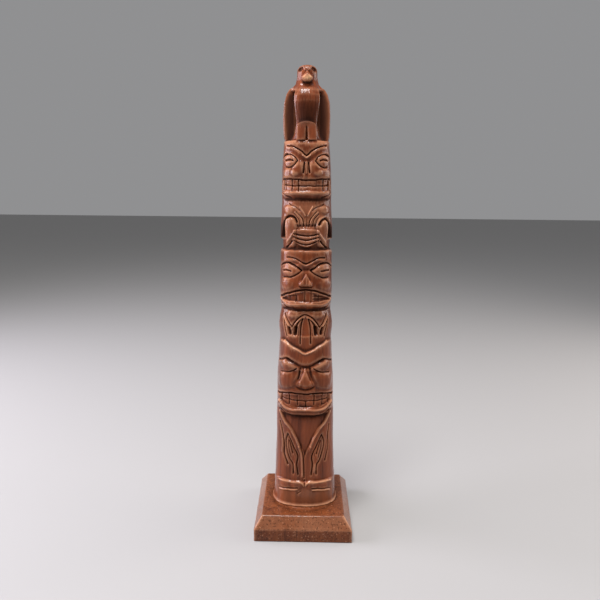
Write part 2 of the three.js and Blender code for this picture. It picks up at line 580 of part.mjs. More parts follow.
// Merge neighbouring points, least change of shape first, until the facets wanted are left.
const faceted = ({ points, triangles }, wanted) => {
  const around = points.map(() => new Set());
  const errors = points.map(() => new Float64Array(10));
  const stamp = new Uint32Array(points.length);
  triangles.forEach((triangle, index) => {
    const [p, q, r] = triangle.map((i) => points[i]);
    const normal = crossOf(p, q, r);
    const size = Math.hypot(...normal);
    const unit = normal.map((value) => value / size);
    const offset = -(unit[0] * p.x + unit[1] * p.y + unit[2] * p.z);
    for (const i of triangle) {
      around[i].add(index);
      addPlane(errors[i], unit, offset, size);
    }
  });
  const alive = new Uint8Array(triangles.length).fill(1);
  const neighbours = (i) => {
    const found = new Set();
    for (const t of around[i]) for (const j of triangles[t]) if (j !== i) found.add(j);
    return found;
  };
  const mayGo = (gone, kept) => !points[gone].axis && !points[kept].axis
    && (!points[gone].rim || points[kept].rim);
  const queue = new MergeQueue();
  const offer = (gone, kept) => {
    if (!mayGo(gone, kept)) return;
    const from = points[gone];
    const to = points[kept];
    const span = Math.hypot(from.x - to.x, from.y - to.y, from.z - to.z);
    const cost = planeError(errors[gone], errors[kept], to) + COST_OF_LENGTH * span;
    queue.push({ cost, gone, kept, goneStamp: stamp[gone], keptStamp: stamp[kept] });
  };
  points.forEach((point, i) => {
    for (const j of neighbours(i)) offer(i, j);
  });
  let left = triangles.length;
  while (left > wanted && queue.items.length > 0) {
    const { gone, kept, goneStamp, keptStamp } = queue.pop();
    if (stamp[gone] !== goneStamp || stamp[kept] !== keptStamp) continue;
    const keptNeighbours = neighbours(kept);
    const shared = [...neighbours(gone)].filter((j) => keptNeighbours.has(j));
    if (shared.length !== 2) continue;
    const moved = [...around[gone]].filter((t) => !triangles[t].includes(kept));
    const sound = moved.every((t) => soundFacet(
      ...triangles[t].map((j) => points[j === gone ? kept : j]),
    ));
    if (!sound) continue;
    for (const t of [...around[gone]]) {
      if (triangles[t].includes(kept)) {
        alive[t] = 0;
        left -= 1;
        for (const j of triangles[t]) around[j].delete(t);
      } else {
        triangles[t] = triangles[t].map((j) => (j === gone ? kept : j));
        around[kept].add(t);
      }
    }
    around[gone].clear();
    for (let i = 0; i < errors[kept].length; i += 1) errors[kept][i] += errors[gone][i];
    stamp[gone] += 1;
    stamp[kept] += 1;
    for (const j of neighbours(kept)) {
      offer(kept, j);
      offer(j, kept);
    }
  }
  return triangles.filter((triangle, index) => alive[index]);
};

const geometryFrom = (points, triangles) => {
  const renumbered = new Map();
  const positions = [];
  const indices = triangles.flat().map((i) => {
    if (!renumbered.has(i)) {
      renumbered.set(i, renumbered.size);
      positions.push(points[i].x, points[i].y, points[i].z);
    }
    return renumbered.get(i);
  });
  const geometry = new THREE.BufferGeometry();
  geometry.setAttribute('position', new THREE.Float32BufferAttribute(positions, 3));
  geometry.setIndex(indices);
  geometry.computeVertexNormals();
  return geometry;
};

const poleGeometry = () => {
  const sampled = sampledPole();
  return geometryFrom(sampled.points, faceted(sampled, POLE_FACETS));
};

// Plinth: three square outlines joined by its vertical edge and its chamfer.
const baseGeometry = () => {
  const half = BASE_SIDE / 2;
  const outlines = [[half, 0], [half, BASE_EDGE_HEIGHT], [half - BASE_CHAMFER, BASE_HEIGHT]];
  const corners = [[-1, -1], [1, -1], [1, 1], [-1, 1]];
  const points = outlines.flatMap(([size, z]) => corners.map(
    ([x, y]) => ({ x: x * size, y: y * size, z }),
  ));
  const triangles = [];
  for (let ring = 0; ring < outlines.length - 1; ring += 1) {
    for (let i = 0; i < corners.length; i += 1) {
      const a = ring * corners.length + i;
      const b = ring * corners.length + ((i + 1) % corners.length);
      triangles.push([a, b, b + corners.length], [a, b + corners.length, a + corners.length]);
    }
  }
  const top = (outlines.length - 1) * corners.length;
  triangles.push([0, 2, 1], [0, 3, 2], [top, top + 1, top + 2], [top, top + 2, top + 3]);
  return geometryFrom(points, triangles);
};

const piece = (name, geometry, color) => {
  const material = new THREE.MeshStandardMaterial({ color, roughness: 0.5 });
  const mesh = new THREE.Mesh(geometry, material);
  mesh.name = name;
  return mesh;
};

const group = new THREE.Group();
group.add(piece('base', baseGeometry(), 0x8f5535));
group.add(piece('pole', poleGeometry(), 0x7c4229));
export default group;
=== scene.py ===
"""Looks of a small carved totem pole: the pole, its plinth, finishes, floor, light and camera."""
import logging
import math
from collections.abc import Callable, Sequence
from dataclasses import dataclass, field
from enum import Enum

import bmesh
import bpy
import numpy as np
from mathutils import Matrix, Vector


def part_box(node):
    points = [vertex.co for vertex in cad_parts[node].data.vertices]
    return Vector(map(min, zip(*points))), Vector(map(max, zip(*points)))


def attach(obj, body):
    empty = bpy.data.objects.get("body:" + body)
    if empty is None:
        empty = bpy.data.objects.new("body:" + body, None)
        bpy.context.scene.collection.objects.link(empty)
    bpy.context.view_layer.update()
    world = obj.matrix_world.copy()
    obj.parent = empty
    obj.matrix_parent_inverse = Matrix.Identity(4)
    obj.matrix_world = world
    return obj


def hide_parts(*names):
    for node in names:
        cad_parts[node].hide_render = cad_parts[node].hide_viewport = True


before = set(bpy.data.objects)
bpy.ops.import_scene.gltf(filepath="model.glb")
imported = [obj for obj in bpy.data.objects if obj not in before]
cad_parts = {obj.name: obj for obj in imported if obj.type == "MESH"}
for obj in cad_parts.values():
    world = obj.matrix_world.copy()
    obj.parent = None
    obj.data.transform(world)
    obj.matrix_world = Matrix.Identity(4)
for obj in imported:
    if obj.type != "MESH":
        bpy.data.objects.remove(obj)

LOG = logging.getLogger("totem_pole")
MM = 0.001
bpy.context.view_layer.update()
DEGREE = math.pi / 180.0

Point = tuple[float, float]
Triple = tuple[float, float, float]
Array = np.ndarray
Curve = Callable[[Array], Array]
Socket = bpy.types.NodeSocket
Table = Sequence[Point]


class Side(Enum):
    """Which half of the carved front a feature is cut on."""

    BOTH = 0
    LEFT = -1
    RIGHT = 1
    ACROSS = 2


def corners(node: str) -> tuple[list[float], list[float]]:
    """Lowest and highest corner of a CAD node at rest, in millimetres."""
    low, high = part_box(node)
    return [round(value / MM, 3) for value in low], [round(value / MM, 3) for value in high]


BASE_LOW, BASE_HIGH = corners("base")
POLE_LOW, POLE_HIGH = corners("pole")


def along(table: Table, heights: Array) -> Array:
    """Read a table of (height, value) rows, lowest first, at many heights."""
    rows = np.asarray(table)
    return np.interp(heights, rows[:, 0], rows[:, 1])


def smooth(start: float, end: float, value: Array) -> Array:
    """Rise smoothly from 0 where the value is at its start to 1 where it is at its end."""
    t = np.clip((value - start) / (end - start), 0.0, 1.0)
    return t * t * (3.0 - 2.0 * t)


def fade(distance: Array, width: float) -> Array:
    """Fall off from 1 on both sides of nought like a bell of that width."""
    return np.exp(-((distance / width) ** 2))


def sweep(middle: float, end: float, reach: float, power: float = 2.0) -> Curve:
    """Make a curve from a middle height to an end height at the reach: power 1 for a V, 2 for a bow."""
    return lambda s: middle + (end - middle) * (np.abs(s) / reach) ** power


def level(height: float) -> Curve:
    """Make a level curve."""
    return lambda s: np.full_like(s, height)


def falling(start: float, top: float, power: float) -> Curve:
    """Make a curve that is level up to a start and falls away from there with a power."""
    return lambda s: top - np.clip(s - start, 0.0, None) ** power


def through(points: Sequence[Point], mirrored: bool = False, steps: int = 6) -> Array:
    """Lay points along a smooth line through a few given ones.

    Args:
        points: The given points, as distance round the pole and height.
        mirrored: Whether the line goes on mirrored from a first point on the middle line.
        steps: Number of straight pieces between two given points.

    Returns:
        The points, one row each.
    """
    given = np.array(points, dtype=float)
    before = 2 * given[0] - given[1]
    if mirrored and given[0, 0] == 0.0:
        before = np.array([-given[1, 0], given[1, 1]])
    chain = np.vstack([before, given, 2 * given[-1] - given[-2]])
    t = np.linspace(0.0, 1.0, steps, endpoint=False)[:, None]
    parts = [
        0.5 * (2 * b + (c - a) * t + (2 * a - 5 * b + 4 * c - d) * t**2 + (3 * b - a - 3 * c + d) * t**3)
        for a, b, c, d in zip(chain, chain[1:], chain[2:], chain[3:])
    ]
    return np.vstack([*parts, given[-1:]])


def points_of(mesh: bpy.types.Mesh) -> Array:
    """Read a mesh's points, one row each, in metres."""
    flat = np.empty(len(mesh.vertices) * 3)
    mesh.vertices.foreach_get("co", flat)
    return flat.reshape(-1, 3)


def store(mesh: bpy.types.Mesh, name: str, values: Array) -> None:
    """Keep one number on each of a mesh's points."""
    mesh.attributes.new(name, "FLOAT", "POINT").data.foreach_set("value", values.astype(np.float32))


def mesh_from(work: bmesh.types.BMesh, name: str) -> bpy.types.Mesh:
    """Turn finished work into a mesh and put the work away."""
    mesh = bpy.data.meshes.new(name)
    work.to_mesh(mesh)
    work.free()
    return mesh


def set_in_scene(name: str, data: bpy.types.ID) -> bpy.types.Object:
    """Put a mesh, light or camera into the scene as an object."""
    thing = bpy.data.objects.new(name, data)
    bpy.context.scene.collection.objects.link(thing)
    return thing


@dataclass
class Section:
    """Oval cross-section of the uncut pole, flatter than an ellipse."""

    half_width: Table = (
        (18, 24.1), (31, 23.3), (55, 22.2), (72, 21.6), (88, 21.6), (100, 21.3), (110, 21.2),
        (120, 20.9), (131, 20.1), (145, 19.4), (159, 19.5), (163, 19), (168, 18), (172, 18.1),
        (177, 18.6), (184, 18.8), (196, 18.5), (210, 18.3), (230, 18.3), (240, 17.9), (250, 17.4),
        (267, 17.1), (275, 16.6), (286, 15.7),
    )
    half_depth: Table = (
        (18, 18.2), (60, 17.8), (100, 18.4), (130, 18.6), (160, 17.6), (190, 17.9), (225, 16.4),
        (270, 16.4), (286, 15.6),
    )
    exponent: float = 2.4

    def radius(self, angles: Array, heights: Array) -> Array:
        """Work out the uncut radius over a grid of heights and angles."""
        wide = np.abs(np.sin(angles))[None, :] / along(self.half_width, heights)[:, None]
        deep = np.abs(np.cos(angles))[None, :] / along(self.half_depth, heights)[:, None]
        return (wide**self.exponent + deep**self.exponent) ** (-1.0 / self.exponent)

    @staticmethod
    def distances(angles: Array, radius: Array) -> Array:
        """Measure round the section from the middle of the front, negative on the left.

        Args:
            angles: Angle of each column.
            radius: Uncut radius over the grid.

        Returns:
            The distances over the grid.
        """
        x, y = radius * np.sin(angles), radius * np.cos(angles)
        steps = np.hypot(np.diff(x, axis=1), np.diff(y, axis=1))
        total = np.concatenate([np.zeros((len(radius), 1)), np.cumsum(steps, axis=1)], axis=1)
        return total - total[:, [int(np.argmin(np.abs(angles)))]]


@dataclass
class CarvedSurface:
    """Carving laid over a grid of heights and distances round the pole, in millimetres."""

    heights: Array
    s: Array
    wander: float = 0.2
    z: Array = field(init=False)
    cut: Array = field(init=False)
    # The stain grid holds dark stain together with painted shade; the wear grid holds rubbed lacquer
    # together with painted highlights.
    stain_and_shade: Array = field(init=False)
    wear_and_highlight: Array = field(init=False)

    def __post_init__(self) -> None:
        """Add the small wander of a hand-held tool to the grid's places."""
        s = self.s
        self.z = np.broadcast_to(self.heights[:, None], s.shape).copy()
        self.cut = np.zeros_like(s)
        self.stain_and_shade = np.zeros_like(s)
        self.wear_and_highlight = np.zeros_like(s)
        wave = np.sin(s * 0.61 + self.z * 0.23) + np.sin(self.z * 0.47 - s * 0.19 + 1.3)
        drift = np.sin(self.z * 0.53 + s * 0.31 + 0.7) + np.sin(s * 0.83 - self.z * 0.11)
        self.s = s + self.wander * 0.5 * wave * smooth(0.0, 4.0, np.abs(s))
        self.z = self.z + self.wander * 0.5 * drift

    def band(self, low: float, high: float) -> slice:
        """Rows of the grid between two heights."""
        margin = 1.5
        first = int(np.searchsorted(self.heights, low - margin))
        last = int(np.searchsorted(self.heights, high + margin))
        return slice(first, max(last, first + 1))

    def across(self, rows: slice, side: Side) -> Array:
        """Distance round the pole as a feature on that side sees it.

        Args:
            rows: Rows of the grid to look at.
            side: The half that the feature is cut on.

        Returns:
            Distances in which the feature's own place is positive on a mirrored or one-sided feature.
        """
        s = self.s[rows]
        if side is Side.BOTH:
            return np.abs(s)
        return s if side in (Side.ACROSS, Side.RIGHT) else -s

    def groove(
        self, width: float, depth: float, *points: Point, side: Side = Side.BOTH, taper: float = 0.0,
        soft: bool = False, wear_and_highlight: float = 0.0,
    ) -> None:
        """Cut a groove along a smooth line; a negative depth raises a bead.

        Args:
            width: Width of the groove at the surface.
            depth: Depth at its middle.
            *points: Where the line passes, as distance round the pole and height.
            side: The half that it is cut on.
            taper: Share of the depth that is lost towards the end.
            soft: Whether its sides run out gently.
            wear_and_highlight: Share of rubbed lacquer and painted highlight along it.
        """
        path = through(points, side is Side.BOTH) if len(points) > 2 else np.array(points, dtype=float)
        half = width / 2.0
        rows = self.band(path[:, 1].min() - half, path[:, 1].max() + half)
        s, z = self.across(rows, side), self.z[rows]
        best = np.full(s.shape, 1e9)
        reached = np.zeros(s.shape)
        count = len(path) - 1
        for i in range(count):
            (s0, z0), (s1, z1) = path[i], path[i + 1]
            ds, dz = s1 - s0, z1 - z0
            t = np.clip(((s - s0) * ds + (z - z0) * dz) / (ds * ds + dz * dz), 0.0, 1.0)
            gap = np.hypot(s - s0 - ds * t, z - z0 - dz * t)
            nearer = gap < best
            best = np.where(nearer, gap, best)
            reached = np.where(nearer, (i + t) / count, reached)
        shape = 1.0 - np.clip(best / half, 0.0, 1.0)
        shape = shape * shape * (3.0 - 2.0 * shape) if soft else shape * (1.3 - 0.3 * shape)
        self.cut[rows] -= depth * shape * (1.0 - taper * reached)
        self.wear_and_highlight[rows] += wear_and_highlight * shape

    def dome(
        self, s0: float, z0: float, half_width: float, half_height: float, height: float,
        side: Side = Side.BOTH, lean: float = 0.0, fullness: float = 1.0, power: float = 2.0,
    ) -> None:
        """Raise a rounded swelling.

        Args:
            s0: Distance of its middle round the pole.
            z0: Height of its middle.
            half_width: Half of its width.
            half_height: Half of its height.
            height: How far it swells; negative for a hollow.
            side: The half that it is on.
            lean: Turn in degrees, top outwards.
            fullness: 1 for a round top, more for a flatter one.
            power: 2 for an oval outline, more for squarer sides.
        """
        reach = max(half_width, half_height)
        rows = self.band(z0 - reach, z0 + reach)
        s, z = self.across(rows, side) - s0, self.z[rows] - z0
        turn = math.radians(lean)
        u = s * math.cos(turn) - z * math.sin(turn)
        v = s * math.sin(turn) + z * math.cos(turn)
        rest = 1.0 - np.abs(u / half_width) ** power - np.abs(v / half_height) ** power
        share = np.clip(fullness * rest, 0.0, 1.0)
        self.cut[rows] += height * share * share * (3.0 - 2.0 * share)

    def area(
        self, low: Curve, high: Curve, reach: float, amount: float, soft: float = 0.6,
        side: Side = Side.BOTH, start: float = -1e3, stain_and_shade: float = 0.0, wear_and_highlight: float = 0.0,
    ) -> None:
        """Raise or sink the area between two curves.

        Args:
            low: Its lower edge.
            high: Its upper edge.
            reach: Its end, as distance round the pole.
            amount: How far it is raised; negative to sink it.
            soft: Width of its sloping edge.
            side: The half that it is on.
            start: Its beginning, as distance round the pole.
            stain_and_shade: Share of dark stain and painted shade that it takes; negative to lighten it.
            wear_and_highlight: Share of rubbed lacquer and painted highlight over it.
        """
        ends = np.array([0.0, reach])
        rows = self.band(float(low(ends).min()), float(high(ends).max()))
        s, z = self.across(rows, side), self.z[rows]
        share = np.clip((z - low(s)) / soft, 0.0, 1.0) * np.clip((high(s) - z) / soft, 0.0, 1.0)
        share = share * np.clip((reach - s) / soft, 0.0, 1.0) * np.clip((s - start) / soft, 0.0, 1.0)
        self.cut[rows] += amount * share
        self.stain_and_shade[rows] += stain_and_shade * share
        self.wear_and_highlight[rows] += wear_and_highlight * share

    def uprights(
        self, places: Sequence[float], low: float, high: float, width: float, depth: float,
    ) -> None:
        """Cut a row of upright lines at distances round the pole, such as those between teeth."""
        for place in places:
            self.groove(width, depth, (place, low), (place, high), side=Side.ACROSS)


@dataclass
class Feet:
    """The paws and the plain foot of the pole."""

    ledge: float = 38.9
    toe_height: float = 35.6

    def carve(self, surface: CarvedSurface) -> None:
        """Cut the toes, the notch between them and the line below."""
        groove, dome, area = surface.groove, surface.dome, surface.area
        dome(5.4, self.toe_height, 5.8, 4.4, 0.5)
        dome(15, self.toe_height - 0.8, 6.4, 4.2, 0.5)
        groove(1.8, 0.9, (0, self.ledge), (0, 34.4), side=Side.ACROSS, taper=0.4)
        groove(1.3, 0.9, (5.4, 32.9), (12, 32.2), (21, 30.3), taper=0.5)
        # Beads along the toes with painted highlights on them.
        groove(1.5, -0.55, (5.8, 31.6), (12, 30.9), (20, 29.2), taper=0.3, wear_and_highlight=0.6)
        groove(
            1.6, -0.5, (0.3, 34.8), (2.2, 37.5), (5.4, 38.2), (10.2, 37.4), (15, 37.9), (22, 36.6),
            wear_and_highlight=0.8,
        )
        groove(0.9, 0.5, (3, 30.4), (5.4, 28.4), side=Side.LEFT)
        # Less painted shade above the toes' ledge.
        area(level(36.6), level(43), 24, 0, 1, stain_and_shade=-0.6)
        # A painted sheen over the plain foot.
        area(level(19), level(34), 26, 0, 3, wear_and_highlight=0.18)


@dataclass
class LowBody:
    """The lowest body: raised V bands, a smooth field between them and a fish on each side."""

    top: float = 91.5
    field_foot: float = 57.0
    band_width: float = 2.3
    band_height: float = 0.85
    fork: Point = (4.2, 66.0)

    def carve(self, surface: CarvedSurface) -> None:
        """Cut the field, the bands, the fish and the long outer lines."""
        groove, dome, area = surface.groove, surface.dome, surface.area
        area(sweep(self.field_foot, self.top, 21, 0.72), sweep(self.top, self.top, 21), 21, -0.9, 1.2)
        wide, deep, fork = self.band_width, -self.band_height, self.fork
        # The raised bands carry painted highlights.
        groove(wide, deep, (22, self.top), (16, 84.2), (10.6, 79.6), (7.3, 73), fork, wear_and_highlight=0.5)
        groove(wide, deep, fork, (2.5, 58), (1.7, 42), side=Side.LEFT, wear_and_highlight=0.3)
        groove(wide, deep, fork, (2.9, 60), side=Side.RIGHT, taper=1)
        groove(1.2, 1, (3.4, 67), (1.1, 57), (0.5, 41), side=Side.LEFT)
        groove(1.5, 1.3, (13.4, 75.4), (15.3, 68.5), (12.8, 57), (9.2, 51), (9.4, 44))
        groove(1.5, 1.3, (13.2, 75), (9.3, 66.6), (5.6, 58.4), (6.2, 51.4), (5.4, 43.2))
        groove(1.4, 1.2, (12.4, 70.4), (10.8, 65.8), (9.4, 60.2))
        groove(1, 0.7, (13.2, 72.6), (12.6, 65), (10.8, 57))
        groove(0.9, 0.5, (11, 70), (8.8, 64), (7.4, 58))
        dome(7.7, 48.6, 1.7, 4.6, 0.6)
        outer = (21.6, 83.4), (18.4, 74.6), (17, 65), (16.8, 58.6), (13.8, 51.2)
        groove(1.9, 1.5, *outer, side=Side.LEFT)
        groove(1.8, 1, (20.6, 82), (19.2, 74), (19.2, 64), (16.6, 54), side=Side.RIGHT)
        groove(1.6, -0.4, (18.8, 70), (18.6, 60))


@dataclass
class LowHead:
    """The lowest and largest head."""

    brow: float = 138.2
    nose_foot: float = 112.8
    mouth: float = 107.9
    teeth_line: float = 102.5

    def carve(self, surface: CarvedSurface) -> None:
        """Cut the brow, eyes, nose, cheeks, mouth and teeth."""
        groove, dome, area = surface.groove, surface.dome, surface.area
        brow = (0, self.brow), (5, 140.8), (8, 142.5), (12, 144.3), (17, 147.2)
        # A bead along the brow with a painted highlight.
        groove(1.5, -0.6, *brow, wear_and_highlight=0.6)
        groove(5.6, 1.3, (0, 128.2), (7, 130.4), (13, 133.2), soft=True)
        groove(2.6, 0.9, (9, 132), (14, 133.8), (18, 133), (25, 130.8), soft=True)
        dome(12.8, 128.4, 8, 4.4, 0.9, lean=-4)
        groove(1.2, 1.2, (6.2, 127.3), (9, 125.6), (13, 124.3), (19, 123.5), taper=0.3)
        dome(13.6, 118, 11, 8.4, 1.3, lean=8)
        groove(3.4, 0.9, (3.6, 127), (4.4, 122.4), (6.8, 116.4), soft=True, taper=0.6)
        groove(1.8, 0.8, (4, 125.2), (4.3, 122.4), (5, 119.6), side=Side.LEFT, soft=True)
        area(sweep(self.nose_foot, 114.2, 5.4), sweep(128.5, 115, 5.4, 0.9), 5.4, 1, 2)
        dome(0, 118, 3.6, 8, 0.8, side=Side.ACROSS)
        dome(4.1, 115.9, 2.4, 3.2, 0.6)
        groove(2.8, 0.7, (0, 111.5), (4, 112), (7, 114.4), soft=True, taper=0.6)
        groove(3.6, 0.3, (8.6, 112.6), (14, 110.8), (22, 109.6), soft=True)
        groove(1.8, 1.8, (0, self.mouth), (10, 108.2), (18, 107), (26, 105.4))
        area(sweep(97.6, 100.6, 19), sweep(107.4, 106.4, 20), 20, -0.8, 0.5)
        surface.uprights((-12, 6.7, 18), 99.6, 107.4, 1.1, 1.1)
        surface.uprights((-18.6, -5.6, 13), 99.4, 107.2, 1, 0.7)
        surface.uprights((0.5,), 98, self.teeth_line, 1, 0.9)
        groove(1, 1, (0, self.teeth_line), (10, 103), (18, 103.4))
        groove(0.9, 0.7, (0, 98.2), (9, 98), (15, 99.8))
        # The lower lip's roll with a painted highlight along it.
        groove(3.2, -1.3, (0, 96), (10, 95.5), (15, 97), (21, 100.8), soft=True, wear_and_highlight=0.7)
        groove(2.2, 0.9, (11, 93), (16, 94.4), (22, 98.4), soft=True)


@dataclass
class MiddleBody:
    """The body with the feathered chest between the lowest and the middle head."""

    collar: float = 166.8
    valley: Point = (10.2, 157.2)

    def carve(self, surface: CarvedSurface) -> None:
        """Cut the shoulders, feather lines, pockets and the middle bar."""
        groove, dome, area = surface.groove, surface.dome, surface.area
        dome(9.6, 167.2, 6.4, 4.4, 1)
        area(sweep(150.8, 150.8, 17), sweep(166, 156, 10.4, 1.6), 16.6, -0.5, 0.9)
        groove(1.5, 1.3, (0, self.collar), (4.6, 164.8), (8, 161.2), self.valley)
        groove(1.4, 1.2, self.valley, (13, 160.6), (16.8, 166.4))
        groove(1.3, 1.1, (11.4, 154.4), (14.4, 158.4), (18.4, 163.8))
        # Beads with painted highlights along them.
        groove(1.2, -0.5, (12.4, 157.2), (15.2, 160.8), (18, 164.4), wear_and_highlight=0.6)
        groove(1.3, -0.6, (0.8, 164.8), (4.6, 162.8), (9.6, 157.2), wear_and_highlight=0.4)
        groove(1.4, 1.1, (3, 163.4), (5.6, 160.8), (7.4, 156.8))
        groove(3.6, 2.4, (7.2, 157.4), (8.3, 152.8))
        groove(1.2, -0.6, (3.4, 163), (5.2, 158), (6.3, 151.6))
        groove(3.2, 2.2, (12.8, 156.4), (12.3, 152.8))
        groove(1.4, 1.2, (17.6, 162.4), (16.6, 157), (15.2, 150.6))
        groove(1.3, 1.3, (2.2, 163.8), (3.3, 159), (3.9, 152), (3.9, 145.6))


@dataclass
class MiddleHead:
    """The middle head, with the broad arched mouth."""

    brow: float = 203.3
    nose_foot: float = 186.5
    mouth: float = 184.7

    def carve(self, surface: CarvedSurface) -> None:
        """Cut the brow, eyes, nose, mouth and the split teeth."""
        groove, dome, area = surface.groove, surface.dome, surface.area
        groove(1.5, 1.2, (0, self.brow), (3, 204.2), (7, 206.4), (10, 207.2), (13.6, 207.2))
        # A bead with a painted highlight.
        groove(1.4, -0.7, (0, 201.9), (1.8, 202.5), (4, 203.8), wear_and_highlight=0.3)
        dome(9, 203.2, 5, 2, -0.6)
        groove(5, 0.7, (0, 199), (4, 199.4), soft=True)
        lid = (3.2, 198.4), (6.5, 200.6), (9.5, 202.2), (13.6, 203.5), (18, 202.8), (24, 200.4)
        groove(1.7, 1.5, *lid)
        groove(1.3, 1.2, (3.2, 198.2), (5, 196.6), (8.4, 194.6), (12.4, 193.2), (17.4, 193.3), taper=0.3)
        dome(12.4, 198, 8.6, 4.6, 0.9, lean=-2)
        groove(1.6, 1.4, (10.4, 197.9), (14, 198.3), (17.4, 198))
        area(sweep(187, 187.6, 4.8), sweep(196.4, 188.4, 4.8, 1), 4.8, 1.1, 1)
        dome(3, 189.4, 2.1, 2.8, 0.7)
        groove(1.6, -0.5, (0.3, 194.6), (0.6, 189), side=Side.ACROSS)
        groove(1.5, 0.9, (0, self.nose_foot), (2.4, 186.5), (4.2, 187), taper=0.4)
        dome(14.6, 188.4, 7.8, 5.6, 1.1)
        groove(2.2, 2, (0, self.mouth), (5, 184.3), (10, 182.8), (16, 180.7), (25, 178))
        area(sweep(175.8, 177, 20), sweep(184, 178, 20, 1.3), 19, -0.8, 0.5)
        area(sweep(176, 177, 20), sweep(182.6, 178, 20, 1.3), 19, -0.5, 0.8, start=5.6)
        surface.uprights((-7.3, -0.7, 3.7), 176, 183.4, 0.9, 0.7)
        surface.uprights((-12, 9.4), 176.4, 181.4, 0.8, 0.45)
        groove(0.9, 0.6, (5, 180.2), (12.6, 179.9), side=Side.RIGHT)
        groove(0.9, 0.6, (5, 178.2), (14.6, 177.9), side=Side.RIGHT)
        groove(0.9, 0.6, (8, 180.8), (15, 179.4), side=Side.LEFT)
        groove(3.2, -0.9, (0, 174.2), (12, 174), (17, 175.6), (21, 178), soft=True)
        groove(2.4, 1, (11, 170.8), (16, 171.6), (21, 174.6), soft=True)


@dataclass
class UpperBody:
    """The body with folded arms and clasped hands under the upper head."""

    hand_half: float = 8.9
    fan_foot: float = 229.0
    finger_lines: tuple[Point, ...] = ((222.3, 223.9), (219.3, 221.7), (216.3, 219.1))
    sleeves: tuple[tuple[Side, float, float, tuple[Point, ...]], ...] = (
        (Side.LEFT, 16, 234.8, ((7.6, 232.2), (9, 234.6), (12, 235.8), (15, 234.8), (16.8, 233.4))),
        (Side.RIGHT, 16.6, 233.6, ((9.4, 230.2), (11.2, 233), (14.2, 233.8), (17.2, 232.4))),
    )

    def carve(self, surface: CarvedSurface) -> None:
        """Cut the arms, the hands with their fingers and the fan of feathers."""
        groove, dome, area = surface.groove, surface.dome, surface.area
        dome(11.8, 224.8, 5.2, 11.4, 1, fullness=1.9, power=3)
        for side, start, top, arch in self.sleeves:
            groove(2.6, 2.4, *arch, side=side)
            area(level(220.4), falling(start, top, 1.35), 25, -2.2, 0.8, side, start)
            # Painted shadow inside each sleeve.
            shade = falling(start, top + 0.6, 0.9)
            area(level(220), shade, 31, 0, 0.5, side, start + 0.6, stain_and_shade=1)
        groove(1.9, 1.8, (10.6, 218.6), (12.8, 216.3), (17.6, 213.9), taper=0.2)
        # A bead with a painted highlight.
        groove(1.7, -0.9, (7.6, 225.6), (11, 221.4), (14.6, 217.6), wear_and_highlight=0.4)
        edge = sweep(214.4, 218.2, self.hand_half)
        area(edge, sweep(227.4, 226.4, self.hand_half), self.hand_half + 0.2, 0.9, 0.8)
        for middle, end in self.finger_lines:
            knuckle = (4.6, middle + 0.25 * (end - middle))
            groove(1.5, 1.4, (0, middle), knuckle, (self.hand_half - 0.4, end))
        area(sweep(227.6, 227.4, 7.4), sweep(230.6, 231, 7.4), 7.4, -0.6, 1.2)
        # Painted sheen over the chest and arms, with less painted shade.
        area(level(228), level(246), 16, 0, 3, stain_and_shade=-0.25, wear_and_highlight=0.22)
        area(level(213), level(234), 17.5, 0, 2, stain_and_shade=-0.1, wear_and_highlight=0.16)
        groove(1.1, 1, (0.3, self.fan_foot), (0.4, 236.4), side=Side.ACROSS, taper=0.6)
        groove(1.2, 1.2, (1.8, self.fan_foot), (3, 234), (7.2, 238.4), taper=0.3)
        groove(1.1, 1, (4.6, self.fan_foot), (5.6, 233.6), (8.8, 237.2), taper=0.3)
        groove(1.1, 0.9, (7, self.fan_foot), (7.6, 232), (8.6, 234.6), taper=0.4)
        # Beads with painted highlights along them.
        groove(1.3, -0.6, (0.9, 236), (2.4, 239), (4.6, 242), wear_and_highlight=0.5)
        groove(1.2, -0.4, (2.6, 231), (4.4, 235.2), (8, 238.4), wear_and_highlight=0.4)
        groove(1.3, 0.6, (4.4, 239.6), (7.6, 241.6), (13.4, 243.8))
        dome(13.6, 240.2, 5.6, 3.6, 0.8)


